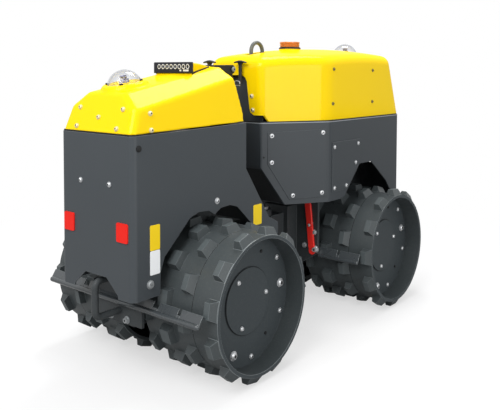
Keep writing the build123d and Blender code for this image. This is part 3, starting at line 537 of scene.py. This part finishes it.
for end, end_way, side, side_way, phase in DRUMS:
    which = end + "_" + side
    body = "drum_" + which
    centre = (end_way * axle_x, axle_z)
    shell = dressed("padded_shell_" + which, "drum_shell_" + which, body, drum_grey, drum_edge_highlight,
                    width=0.0028)
    highlight_pad_tops(shell, centre, 2)
    rim = dressed("padded_rim_" + which, "drum_extension_" + which, body, drum_grey, drum_edge_highlight,
                  width=0.0028)
    # The cover's rounded edge takes the dark grey of the gap's painted shade
    dressed("round_cover_" + which, "drum_cover_" + which, body, disc_grey, cover_gap_shade, width=0.0015)
    rim.data.materials.append(disc_grey)
    rim.data.materials.append(rim_edge_highlight)
    # The rim's outer edge strips take a brighter painted highlight than the pads'; the strips in the disc's
    # inner corner take the disc's grey, with no highlight
    for face in rim.data.polygons:
        out = math.hypot(face.center.x - centre[0], face.center.z - centre[1])
        on_edge = face.material_index == 1
        in_corner = face.center.y * side_way < disc_deep and out < disc_corner_out
        on_disc = not on_edge and face.normal.y * side_way > 0.9 and out < disc_out
        if on_disc or (on_edge and in_corner):
            face.material_index = 2
        elif on_edge and out < shell_edge_out:
            face.material_index = 3
    highlight_pad_tops(rim, centre, 4)
    for label, section, finish in DRUM_SEAMS:
        seam_ring(label + which, body, centre, side_way, section, finish)
    for label, node, radius, first, count, washer, head, height, hole, finish in FACE_FIXINGS:
        spots = []
        for number in range(count):
            angle = math.radians(first + phase - number * 360 / count)
            start = (centre[0] + radius * math.cos(angle), side_way * 0.6,
                     centre[1] + radius * math.sin(angle))
            spots.append((node + which, start, (0, -side_way, 0)))
        bolts(label + which, body, spots, washer=washer, head=head, height=height, hole=hole,
              finish=finish)


# Scrapers and tie-down loops: notched steel blades with a rolled lip across each end plate, plates
# by the cross plates, and a bent rod on each end to lash the machine down, all in dark paint
def boxed(work, corners):
    """The six faces of a box whose eight corners come in three nested pairs."""
    for face in ((0, 1, 3, 2), (4, 6, 7, 5), (0, 4, 5, 1), (2, 3, 7, 6), (0, 2, 6, 4), (1, 5, 7, 3)):
        work.faces.new([corners[corner] for corner in face])


def comb(work, foot, top, wall, y_low, y_high, notches, notch_depth, lip):
    """A leaning sheet from foot to top in (x, z), notched along its top, with a rolled lip on its foot."""
    slope = (Vector(top) - Vector(foot)).normalized()
    across = Vector((slope.y, -slope.x)) * wall / 2
    deep = Vector(top) - slope * notch_depth
    stations = [(y_low, top)]
    for middle, half in notches:
        stations += [(middle - half, top), (middle - half, deep)]
        stations += [(middle + half, deep), (middle + half, top)]
    stations.append((y_high, top))
    for (y_one, edge), (y_two, _) in zip(stations, stations[1:]):
        if y_two > y_one:
            boxed(work, [work.verts.new((x + way * across.x, y, z + way * across.y))
                         for y in (y_one, y_two) for x, z in (foot, edge) for way in (-1, 1)])
    # The lip's round ends: how far in from the end, in lip radii, and the share of the radius there
    round_end = ((0.15, 0.6), (0.5, 0.9), (1.0, 1.0))
    ends = [(y_low + lip * step, share) for step, share in round_end]
    ends += [(y_high - lip * step, share) for step, share in reversed(round_end)]
    rings = [[work.verts.new((foot[0], y_low, foot[1]))]]
    for y, share in ends:
        out = lip * share
        rings.append(ring_of(work, 16, lambda c, s: (foot[0] + out * c, y, foot[1] + out * s)))
    rings.append([work.verts.new((foot[0], y_high, foot[1]))])
    skinned(work, rings)


blade_grey = coat("blade_grey", (60, 65, 68), gloss=(0.28, 0.1), lacquer=0.4, specular=0.5)
# Lighter grey of the blades' rounded edge strips: a painted highlight on the lip and edges
blade_edge_highlight = coat("blade_edge_highlight", (84, 90, 92), cloud=0.15, gloss=(0.3, 0.1), dust=0.04, specular=0.5)
blade_wall = 0.004
blade_half = 0.382
blade_notches = ((-0.287, 0.006), (-0.180, 0.013), (0.180, 0.013), (0.287, 0.006))
for end, way, body in HALVES:
    outer = bmesh.new()
    comb(outer, (way * 0.766, 0.2625), (way * 0.7455, 0.2935), blade_wall, -blade_half, blade_half,
         blade_notches, 0.020, 0.0095)
    blade = settled(end + "_scraper_blade", outer, body, blade_grey, blade_edge_highlight,
                    width=0.0012)
    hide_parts(end + "_outer_scraper")
    inner = bmesh.new()
    for y_low, y_high, notch in ((-0.376, -0.178, -0.275), (0.178, 0.376, 0.275)):
        comb(inner, (way * 0.190, 0.247), (way * 0.2065, 0.281), blade_wall, y_low, y_high,
             ((notch, 0.006),), 0.018, 0.007)
    plates = settled(end + "_scraper_plates", inner, body, blade_grey, blade_edge_highlight,
                     width=0.0012)
    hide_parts(end + "_inner_scraper")
    dressed(end + "_loop_rod", end + "_tie_loop", body, frame_grey, frame_edge_highlight, width=0.0, flatten=False)

# Lock bar: flat steel bar in gloss red that pins the joint straight for transport. It is stowed
# on the cross plate, under a nut at its foot and a pin in its middle.
lock_red = coat("lock_red", (252, 52, 44), gloss=(0.34, 0.1), lacquer=0.5, dust=0.0, specular=0.3)
dressed("lock_bar_flat", "lock_bar", "front_half", lock_red, width=0.0025)
bolts("lock_bar_nut", "front_half", [("front_frame", (0.05, -0.168, 0.272), (1, 0, 0))],
      washer=0.015, head=0.012, height=0.014, sides=6, crown=0.85, hole=0.005)
bolts("lock_bar_pin", "front_half", [("lock_bar", (0.05, -0.1395, 0.375), (1, 0, 0))],
      washer=0.007, head=0.005, height=0.004)

# Control half housing: one steel sheet folded round the end with a wheel arch in each side, powder
# coated satin grey and bolted to the frame. The tank stands in it as one dark block.
housing_grey = coat("housing_grey", (65, 70, 74), cloud=0.08, grain=(1100.0, 0.1), gloss=(0.44, 0.08),
                    dust=0.03)
# Lighter grey of the housing sheets' rounded edge strips: a painted highlight
housing_edge_highlight = coat("housing_edge_highlight", (88, 92, 95), cloud=0.08, gloss=(0.34, 0.08), dust=0.0)
# Dark grey of the tank and engine blocks, and the painted shade on the sheet in the engine half's nose
inner_dark_and_painted_shade = coat("inner_dark_and_painted_shade", (34, 36, 38), gloss=(0.6, 0.1), dust=0.1)
dressed("rear_housing_sheet", "rear_housing", "rear_half", housing_grey, housing_edge_highlight, width=0.0012,
        sharp=40.0)
dressed("rear_floor_sheet", "rear_floor", "rear_half", housing_grey, housing_edge_highlight, width=0.0012)
dressed("tank_block", "hydraulic_tank", "rear_half", inner_dark_and_painted_shade, width=0.012, steps=3)
bolts("rear_end_bolts", "rear_half",
      [("rear_housing", (-1.0, y, 0.679), (1, 0, 0)) for y in (-0.074, 0.074)])
bolts("rear_side_bolts", "rear_half", both_sides("rear_housing", ((-0.467, 0.5825),)),
      washer=0.0115, head=0.0085, height=0.006)
bolts("rear_skirt_bolts", "rear_half", both_sides("rear_housing", ((-0.7834, 0.3605),)),
      washer=0.0145, head=0.012, height=0.006, crown=0.8, hole=0.002, finish=dull_zinc)
bolts("side_plugs", "rear_half", both_sides("rear_housing", ((-0.829, 0.799),)),
      washer=0.0105, head=0.009, height=0.0015, crown=0.8, finish=painted_shade_and_plug_black)


# Reflectors and blank plates: red moulded reflectors on the end, plain yellow and white stickers
# on the sides where labels go, all stuck flat on the coated sheet
def plate(name, body, finish, node, start, toward, size, corner=0.004, thickness=0.0012):
    """A thin upright plate with round corners, stuck on the face that a line from outside meets."""
    place, normal = seat(node, start, toward)
    upright = Vector((0, 0, 1))
    rise = (upright - normal * normal.dot(upright)).normalized()
    along = rise.cross(normal).normalized()
    reach_along, reach_up = size[0] / 2 - corner, size[1] / 2 - corner
    curve = 3
    face_share = 0.99
    outline = []
    for way_along, way_up, first in ((1, 1, 0), (-1, 1, 90), (-1, -1, 180), (1, -1, 270)):
        for step in range(curve + 1):
            angle = math.radians(first + 90 * step / curve)
            outline.append((way_along * reach_along + corner * math.cos(angle),
                            way_up * reach_up + corner * math.sin(angle)))
    work = bmesh.new()
    skinned(work, [[work.verts.new(place + (along * a + rise * b) * share + normal * lift)
                    for a, b in outline] for share, lift in ((1.0, 0.0), (face_share, thickness))],
            capped=True)
    return settled(name, work, body, finish, smooth=False)


def prism_red():
    """Red reflector plastic with a fine honeycomb of prisms under a clear face."""
    finish = coat("reflector_red", (232, 32, 20), cloud=0.05, gloss=(0.3, 0.05), lacquer=0.25, dust=0.0,
                  specular=0.1)
    tree = finish.node_tree
    place = put(tree, "ShaderNodeTexCoord").outputs["Object"]
    cells = put(tree, "ShaderNodeTexVoronoi", Vector=place, Scale=300.0)
    ridge = put(tree, "ShaderNodeBump", Height=cells.outputs["Distance"], Strength=0.5, Distance=0.0006)
    feed(tree, tree.nodes["Principled BSDF"], {"Normal": ridge.outputs[0]})
    return finish


reflector_red = prism_red()
label_yellow = coat("label_yellow", (250, 214, 30), gloss=(0.38, 0.08), dust=0.02)
label_white = coat("label_white", (246, 248, 250), gloss=(0.36, 0.08), dust=0.02)
for number, y in enumerate((-0.137, 0.137)):
    plate("reflector_%d" % number, "rear_half", reflector_red, "rear_housing",
          (-1.0, y, 0.532), (1, 0, 0), (0.054, 0.062), corner=0.006, thickness=0.004)
# Stickers of each side: name, finish, slot, x and z of the middle, width, height
STICKERS = (
    ("yellow_plate_%d", label_yellow, "yellow_hood", -0.762, 0.508, 0.043, 0.082),
    ("white_plate_%d", label_white, "clear_dome", -0.762, 0.427, 0.043, 0.078),
    ("small_yellow_plate_%d", label_yellow, "yellow_hood", -0.237, 0.496, 0.05, 0.078),
)
for number, side in enumerate((-1, 1)):
    for label, finish, slot, x, z, wide, high in STICKERS:
        plate(label % number, "rear_half", finish, "rear_housing", (x, side * 0.6, z), (0, -side, 0),
              (wide, high), thickness=0.0006)


# Gap shadow of the control half: a black band on the housing's top edge, the painted shadow of the gap
# under the hood. It fills that gap on three sides and shows as a thin dark line.
def rail(name, outline, z_low, z_high, depth, body, finish):
    """An upright band that follows an open plan outline, as deep as a sheet or a thin shadow band."""
    inward = []
    for index, point in enumerate(outline):
        before = Vector(outline[max(index - 1, 0)])
        after = Vector(outline[min(index + 1, len(outline) - 1)])
        run = (after - before).normalized()
        inward.append(Vector(point) + Vector((-run.y, run.x)) * depth)
    work = bmesh.new()
    sections = []
    for outside, inside in zip(outline, inward):
        corners = ((outside, z_low), (outside, z_high), (inside, z_high), (inside, z_low))
        sections.append([work.verts.new((point[0], point[1], z)) for point, z in corners])
    skinned(work, sections, capped=True)
    return settled(name, work, body, finish)


def bent(points, radii, turns=6):
    """An open plan outline with each inner corner rounded by its own radius."""
    outline = [points[0]]
    for before, corner, after, radius in zip(points, points[1:], points[2:], radii):
        corner = Vector(corner)
        back = (Vector(before) - corner).normalized()
        ahead = (Vector(after) - corner).normalized()
        half = back.angle(ahead) / 2
        middle = corner + (back + ahead).normalized() * radius / math.sin(half)
        start = (corner + back * radius / math.tan(half) - middle).normalized()
        finish = (corner + ahead * radius / math.tan(half) - middle).normalized()
        for turn in range(turns + 1):
            outline.append(tuple(middle + start.slerp(finish, turn / turns) * radius))
    outline.append(points[-1])
    return outline


hood_base = 0.842
gap_shadow_top = hood_base + 0.0006
gap_shadow_depth = 0.006
# Near-black of the bands that are the painted shadow of the gap under each hood, and of the display's rubber
# gasket
black_seal_and_gap_shadow = coat("black_seal_and_gap_shadow", (18, 19, 20), gloss=(0.6, 0.1), dust=0.02)
rear_line = bent([(-0.309, 0.183), (-0.853, 0.183), (-0.853, -0.183), (-0.309, -0.183)], (0.020, 0.020))
rail("rear_hood_gap_shadow", rear_line, 0.836, gap_shadow_top, gap_shadow_depth, "rear_half", black_seal_and_gap_shadow)


# Control half hood: a moulded yellow shell with leaning walls and soft shoulders, in gloss paint,
# held by screws in its end and sides. Its rim, its mouth and the crown under the display stay crisp.
def rear_roof(x):
    """Height of the control half's roof, which rises towards the display."""
    return 0.9617 + 0.19 * (x + 0.870)


hood_yellow = coat("hood_yellow", (253, 214, 8), cloud=0.03, grain=(500.0, 0.05), gloss=(0.33, 0.06),
                   lacquer=0.27, dust=0.0, specular=0.0, dust_tone=(214, 190, 90))
rear_shell = dressed("rear_hood_shell", "rear_hood", "rear_lid", hood_yellow, width=0.0, flatten=False)
mould = rear_shell.modifiers.new("mould", "REMESH")
mould.mode = "VOXEL"
mould.voxel_size = 0.0035
mould.use_smooth_shade = True
rough_shell = fixed_mesh(rear_shell)
crisp_rim_top = 0.858
crisp_mouth_end = -0.372
soft_within = 0.030
display_share = 0.15
free = rear_shell.vertex_groups.new(name="free")
for corner in rough_shell.vertices:
    x, y, z = corner.co
    above_rim = min(max((z - crisp_rim_top) / soft_within, 0.0), 1.0)
    behind_mouth = min(max((crisp_mouth_end - x) / soft_within, 0.0), 1.0)
    under_display = x > -0.515 and abs(y) < 0.105 and z - rear_roof(x) > -0.004
    share = above_rim * behind_mouth * (display_share if under_display else 1.0)
    free.add([corner.index], share, "REPLACE")
soften = rear_shell.modifiers.new("soften", "SMOOTH")
soften.factor = 0.5
soften.iterations = 24
soften.vertex_group = "free"
fixed_mesh(rear_shell)
rear_shell.vertex_groups.clear()
# Cream tint of the hood screws' zinc: a painted reflection of the yellow hood round them
hood_zinc_yellow_reflection = coat("hood_zinc_yellow_reflection", (224, 214, 178), cloud=0.1, grain=(2200.0, 0.06), gloss=(0.36, 0.08), dust=0.0,
                 metal=0.45)
hood_end_spots = ((0.108, 0.919), (0.0, 0.890), (-0.112, 0.919), (0.1015, 0.8575), (-0.1035, 0.8575))
bolts("rear_hood_bolts", "rear_lid", [("rear_hood", (-1.0, y, z), (1, 0, 0)) for y, z in hood_end_spots]
      + both_sides("rear_hood", ((-0.770, 0.906), (-0.772, 0.853))),
      washer=0.0085, head=0.0072, height=0.0055, finish=hood_zinc_yellow_reflection)

# Domes: clear polycarbonate caps over the remote-control eyes, each held by black clips on the
# hood's raised pad, with a small receiver inside
clear_cap = bpy.data.materials.new("clear_cap")
clear_cap.use_nodes = True
cap_tree = clear_cap.node_tree
cap_rim = put(cap_tree, "ShaderNodeLayerWeight", Blend=0.35).outputs["Facing"]
cap_haze = put(cap_tree, "ShaderNodeTexNoise", Scale=40.0, Detail=2.0).outputs[0]
cap_rough = put(cap_tree, "ShaderNodeMapRange", Value=cap_haze, To_Min=0.0, To_Max=0.02).outputs[0]
feed(cap_tree, cap_tree.nodes["Principled BSDF"], {
    "Base Color": blend(cap_tree, cap_rim, (0.96, 0.97, 0.985, 1), (0.42, 0.44, 0.50, 1)),
    "Roughness": cap_rough, "Transmission Weight": 1.0, "IOR": 1.3})
lens_smoke = coat("lens_smoke", (150, 148, 166), gloss=(0.4, 0.04), dust=0.0, specular=0.2)
moulded_black = coat("moulded_black", (30, 31, 33), cloud=0.1, grain=(700.0, 0.3), gloss=(0.46, 0.1),
                     dust=0.04)


def turned(name, body, x, y, z, profile, finish, steps=40, lean=0.0):
    """A round piece from its half profile of (radius, height), its axis leaning forward by an angle."""
    work = bmesh.new()
    rings = []
    for radius, height in profile:
        around = steps if radius > 0 else 1
        rings.append(ring_of(work, around, lambda c, s: (x + radius * c, y + radius * s, z + height)))
    skinned(work, rings)
    bmesh.ops.rotate(work, verts=work.verts, cent=(x, y, z), matrix=Matrix.Rotation(lean, 3, "Y"))
    return settled(name, work, body, finish, sharp=40.0)


# Dome seats: end, body, place on the roof, lean of the roof there (the engine half's is an arc)
DOME_SEATS = (
    ("rear", "rear_lid", (-0.730, 1.0023), -math.atan(0.19)),
    ("front", "front_lid", (0.690, 1.1341), math.asin(0.280 / 3.6)),
)
EYE_PROFILE = ((0.0, 0.0), (0.018, 0.0), (0.018, 0.006), (0.011, 0.008), (0.011, 0.018), (0.0135, 0.020),
               (0.0125, 0.024), (0.0, 0.026))
clip_place = Matrix.Translation((0.0595, 0, 0.0025))
clip_size = Matrix.Diagonal((0.007, 0.012, 0.005, 1))
for end, body, (seat_x, seat_z), lean in DOME_SEATS:
    dressed(end + "_clear_cap", end + "_dome", body, clear_cap, width=0.0, flatten=False)
    eye = turned(end + "_receiver_eye", body, seat_x, 0.0, seat_z, EYE_PROFILE,
                 lens_smoke, lean=lean)
    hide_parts(end + "_receiver")
    clips = bmesh.new()
    seat_frame = Matrix.Translation((seat_x, 0.0, seat_z)) @ Matrix.Rotation(lean, 4, "Y")
    for turn in (40, 130, 220, 310):
        about = Matrix.Rotation(math.radians(turn), 4, "Z")
        bmesh.ops.create_cube(clips, size=1.0, matrix=seat_frame @ about @ clip_place @ clip_size)
    settled(end + "_dome_clips", clips, body, moulded_black, width=0.001)

# Display: a black panel at the hood's crown with eight plain rings and two plain bars printed on
# its tilted face. A rubber gasket closes the joint between the panel's hump and the roof.
panel_navy = coat("panel_navy", (24, 26, 34), cloud=0.06, grain=(900.0, 0.1), gloss=(0.3, 0.06), dust=0.0)
dressed("display_block", "display_panel", "rear_lid", panel_navy, width=0.003)
ring_white = coat("ring_white", (205, 208, 212), gloss=(0.4, 0.05), dust=0.0)


def ring_tree():
    """Geometry Nodes: flat oval rings in a row, one at each point."""
    tree, given, made = grouped(
        "oval_rings", "GeometryNodeTree",
        {"Geometry": "Geometry", "Radius": "Float", "Line": "Float", "Stretch": "Vector",
         "Finish": "Material"}, {"Geometry": "Geometry"})
    circle = {"mode": "RADIUS"}
    loop = put(tree, "GeometryNodeCurvePrimitiveCircle", Resolution=24, Radius=given["Radius"], **circle)
    section = put(tree, "GeometryNodeCurvePrimitiveCircle", Resolution=8, Radius=given["Line"], **circle)
    tube = put(tree, "GeometryNodeCurveToMesh", Curve=loop.outputs["Curve"],
               Profile_Curve=section.outputs["Curve"])
    stood = put(tree, "GeometryNodeTransform", Geometry=tube.outputs[0], Rotation=(0, math.radians(90), 0))
    place = put(tree, "GeometryNodeInstanceOnPoints", Points=given["Geometry"], Instance=stood.outputs[0],
                Scale=given["Stretch"])
    real = put(tree, "GeometryNodeRealizeInstances", Geometry=place.outputs[0])
    feed(tree, made, {0: painted(tree, real.outputs[0], given["Finish"])})
    return tree


panel_low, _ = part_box("display_panel")
ring_pitch = 0.0211
ring_row = [(panel_low[0], 0.070 - ring_pitch * number, panel_low[2] + 0.0245) for number in range(8)]
rings = grown("display_rings", ring_tree(), ring_row,
              {"Radius": 0.0070, "Line": 0.0015, "Stretch": (0.3, 1.0, 1.1), "Finish": ring_white})
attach(rings, "rear_lid")
for number, (y, width) in enumerate(((-0.042, 0.009), (-0.069, 0.028))):
    plate("display_mark_%d" % number, "rear_lid", ring_white, "display_panel",
          (-0.7, y, panel_low[2] + 0.0105), (1, 0, 0), (width, 0.0065), corner=0.002, thickness=0.0006)
gasket = bmesh.new()
for side in (-1, 1):
    boxed(gasket, [gasket.verts.new((x, side * (y + out), rear_roof(x) + rise))
                   for x, y in ((-0.497, 0.0935), (-0.378, 0.0630))
                   for out in (-0.004, 0.0012) for rise in (-0.004, 0.0042)])
settled("display_gasket", gasket, "rear_lid", black_seal_and_gap_shadow)

# Hood arms and T handles: flat steel arms in black paint that turn on a plated bolt in their
# bracket, and rubber T handles that pull the hoods shut
dressed("hood_arms_flat", "rear_hood_arms", "rear_lid", moulded_black, width=0.0015)
dressed("hood_bracket_flat", "rear_hood_bracket", "rear_half", moulded_black, width=0.0012)
pivot_zinc = coat("pivot_zinc", (150, 154, 150), gloss=(0.4, 0.1), dust=0.0, metal=0.3)
bolts("arm_pivot_bolts", "rear_half", both_sides("rear_hood_bracket", ((-0.232, 1.049),), reach=0.3),
      washer=0.0105, head=0.0085, height=0.0028, crown=0.8, hole=0.0035, finish=pivot_zinc)
# Half of the T's bar, from its end to its middle: distance from the stem, half width, half height, droop
GRIP_SECTIONS = (
    (0.0310, 0.0030, 0.0016, 0.0070),
    (0.0295, 0.0055, 0.0026, 0.0062),
    (0.0220, 0.0070, 0.0036, 0.0036),
    (0.0120, 0.0078, 0.0050, 0.0012),
    (0.0050, 0.0080, 0.0060, 0.0),
)


def t_handle(name, node, body, foot_z):
    """A rubber T grip on a stem, its bar drooping to the ends, which stands for the plain latch solid."""
    low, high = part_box(node)
    stem_x = low[0] + 0.007
    stem_y = (low[1] + high[1]) / 2
    top = high[2]
    work = bmesh.new()
    bar = [(-y, *rest) for y, *rest in GRIP_SECTIONS] + list(reversed(GRIP_SECTIONS))
    skinned(work, [ring_of(work, 16, lambda c, s: (stem_x + wide * c, stem_y + y,
                                                   top - 0.0001 - thick - droop + thick * s))
                   for y, wide, thick, droop in bar], capped=True)
    stem = ((top - 0.006, 0.0135), (top - 0.010, 0.0115), (top - 0.016, 0.0080), (top - 0.022, 0.0070),
            (foot_z + 0.012, 0.0070), (foot_z + 0.010, 0.0085), (foot_z, 0.0085))
    skinned(work, [ring_of(work, 20, lambda c, s: (stem_x + radius * c, stem_y + radius * s, z))
                   for z, radius in stem], capped=True)
    grip = settled(name, work, body, moulded_black, sharp=50.0)
    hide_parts(node)


t_handle("rear_t_handle", "rear_latch", "rear_lid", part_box("rear_latch")[0][2])
t_handle("front_t_handle", "front_latch", "front_half", 0.993)

# Latch hook: bent steel wire that the engine hood's T handle pulls on, at the foot of its stem,
# with a small plated bar that holds it to the handle's plate
wire_radius = 0.0022
hook_wide = 0.0145
hook_high = 0.0085
hook_middle = Vector((-0.184, -0.036, 0.9945))
hook = bmesh.new()
hook_rings = []
for step in range(13):
    sweep = math.radians(-25 + 230 * step / 12)
    middle = hook_middle + Vector((0, hook_wide * math.cos(sweep), hook_high * math.sin(sweep)))
    outward = Vector((0, math.cos(sweep), math.sin(sweep)))
    hook_rings.append(ring_of(
        hook, 8, lambda c, s: middle + (outward * c + Vector((s, 0, 0))) * wire_radius))
skinned(hook, hook_rings, capped=True)
hook_bar = Matrix.Translation((-0.182, hook_middle.y, 0.9850)) @ Matrix.Diagonal((0.006, 0.024, 0.0035, 1))
bmesh.ops.create_cube(hook, size=1.0, matrix=hook_bar)
settled("latch_hook", hook, "front_half", bare_steel, sharp=50.0)

# Engine half housing: folded steel sheets with bends at the nose and flanks, bolted access plates
# and a louvred end, powder coated satin grey. The flanks and access plates take a darker grey, painted
# shade, and the rounded edges a lighter one, a painted highlight. A thin dark sheet of painted shade closes
# the nose's slant.
# Darker copy of the housing grey for the engine half's flanks and access plates: painted shade
flank_painted_shade_grey = coat("flank_painted_shade_grey", (58, 63, 67), cloud=0.08, grain=(1100.0, 0.1), gloss=(0.44, 0.08), dust=0.03)
dressed("front_housing_sheet", "front_housing", "front_half", flank_painted_shade_grey, housing_edge_highlight, width=0.0012,
        sharp=40.0)
dressed("front_floor_sheet", "front_floor", "front_half", housing_grey, housing_edge_highlight, width=0.0012)
dressed("front_bulkhead_sheet", "front_bulkhead", "front_half", housing_grey, housing_edge_highlight, width=0.0012)
dressed("access_plates_cut", "access_plates", "front_half", flank_painted_shade_grey, housing_edge_highlight, width=0.0008,
        sharp=40.0)
dressed("engine_block_cast", "engine", "front_half", inner_dark_and_painted_shade, width=0.012, steps=3)
# The sheet in the nose's slant is dark as painted shade
closing = bmesh.new()
boxed(closing, [closing.verts.new((x + back, side * half, z + back * 0.55))
                for x, z, half in ((-0.148, 0.663, 0.127), (-0.062, 0.512, 0.180))
                for side in (-1, 1) for back in (0.0, 0.003)])
settled("nose_painted_shade_sheet", closing, "front_half", inner_dark_and_painted_shade)
# Dark discs of painted shade stand for the holes in the nose
bolts("nose_holes", "front_half", both_sides("front_housing", ((-0.143, 0.701),)),
      washer=0.0032, head=0.003, height=0.0004, hole=0.002, finish=painted_shade_and_plug_black)

# Top flange and gap shadow of the engine half: the housing's upper edge, a light grey that is a painted
# highlight, and a black band on it, the painted shadow of the gap under the hood that closes on it
half_plan = [(-0.155, 0.133), (0.100, 0.292), (0.690, 0.292), (0.855, 0.185)]
plan = [(-0.155, 0.0)] + [(x, -y) for x, y in half_plan] + half_plan[::-1] + [(-0.155, 0.001)]
front_line = bent(plan, (0.018, 0.030, 0.024, 0.018, 0.018, 0.024, 0.030, 0.018))
# The flange stands half a millimetre past the shadow band's line at both ends
flange_line = [(x + (0.0005 if x > 0.8 else -0.0005 if x < -0.15 else 0.0), y * 1.0022)
               for x, y in front_line]
gap_shadow_line = [(x * 0.998, y * 0.992) for x, y in front_line]
# Light grey of the flange: a painted highlight on the housing's upper edge
top_flange_highlight = coat("top_flange_highlight", (138, 143, 147), cloud=0.06, gloss=(0.3, 0.08), dust=0.0)
rail("front_top_flange", flange_line, 0.8345, 0.8384, 0.003, "front_half", top_flange_highlight)
rail("front_hood_gap_shadow", gap_shadow_line, 0.8375, gap_shadow_top, gap_shadow_depth, "front_half", black_seal_and_gap_shadow)

# Access bolts and grille: button-head screws round the access plates, and pressed black slats
# that close the radiator's opening at the far end
access_spots = (
    (-0.117, 0.786), (0.071, 0.794), (-0.117, 0.680), (-0.040, 0.544), (0.068, 0.549),
    (0.132, 0.730), (0.322, 0.731), (0.302, 0.650), (0.132, 0.560), (0.226, 0.560))
bolts("access_plate_bolts", "front_half", both_sides("access_plates", access_spots),
      washer=0.0085, head=0.0062, height=0.0045)
dressed("grille_slats", "radiator_grille", "front_half", moulded_black, width=0.0008)

# Engine half hood: a moulded yellow shell in gloss paint, with brass studs on its flanks, plated
# screws beside the notch, and steel straps to hinge lugs at the far end
dressed("front_hood_shell", "front_hood", "front_lid", hood_yellow, width=0.0, flatten=False)
stud_brass = coat("stud_brass", (120, 108, 66), cloud=0.1, gloss=(0.4, 0.1), dust=0.0)
stud_spots = ((0.139, 1.051), (0.4606, 1.047), (0.134, 0.909), (0.459, 0.907))
nose_spots = ((-0.0887, 0.9428), (-0.0944, 0.8881), (0.0887, 0.9428), (0.0944, 0.8881))
bolts("front_hood_studs", "front_lid", both_sides("front_hood", stud_spots),
      washer=0.0072, head=0.0050, height=0.004, finish=stud_brass)
bolts("front_nose_bolts", "front_lid", [("front_hood", (-0.6, y, z), (1, 0, 0)) for y, z in nose_spots],
      washer=0.0088, head=0.0075, height=0.0055, finish=hood_zinc_yellow_reflection)
dressed("front_hood_straps_plain", "front_hood_straps", "front_lid", frame_grey, frame_edge_highlight, width=0.001)
dressed("front_hinge_lugs_plain", "front_hinge_lugs", "front_half", frame_grey, frame_edge_highlight, width=0.001)

# Beacon: an amber plastic lens with rounded ribs and a plain cap, on a black foot that is screwed
# to the engine half's roof
beacon_low, beacon_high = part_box("beacon_base")
lens_low, lens_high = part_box("beacon_lens")
beacon_x = (beacon_low[0] + beacon_high[0]) / 2
foot_profile = ((0.0, 0.0), (0.0485, 0.0), (0.0485, 0.004), (0.0465, 0.0062), (0.0440, 0.0078), (0.0, 0.008))
foot = turned("beacon_foot", "front_lid", beacon_x, 0.0, beacon_low[2], foot_profile,
              moulded_black, steps=64)
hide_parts("beacon_base")
amber = coat("amber_lens", (198, 122, 62), cloud=0.05, grain=(300.0, 0.02), gloss=(0.2, 0.03), lacquer=0.4,
             dust=0.0, specular=0.2)
lens_height = lens_high[2] - lens_low[2]
ribbed_height = lens_height * 0.72
rib_count = 4
lens_profile = [(0.0, 0.0)]
for rib in range(rib_count):
    low_z = ribbed_height * rib / rib_count
    high_z = ribbed_height * (rib + 1) / rib_count
    lens_profile += [(0.0424, low_z + 0.0002), (0.0446, (low_z + high_z) / 2), (0.0424, high_z - 0.0002)]
lens_profile += [(0.0449, ribbed_height + 0.0006), (0.0449, lens_height * 0.93),
                 (0.0432, lens_height * 0.985), (0.040, lens_height), (0.0, lens_height)]
glass = turned("beacon_amber", "front_lid", beacon_x, 0.0, lens_low[2], lens_profile, amber,
               steps=72)
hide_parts("beacon_lens")

# Lifting eye: a bent round rod in grey paint, welded to a flat post that stands on the floor
# and comes up between the two hoods
rod_grey = coat("rod_grey", (96, 99, 97), cloud=0.2, grain=(500.0, 0.2), gloss=(0.42, 0.15), dust=0.12)
dressed("lifting_eye_rod", "lifting_eye", "front_half", rod_grey, width=0.0, flatten=False)
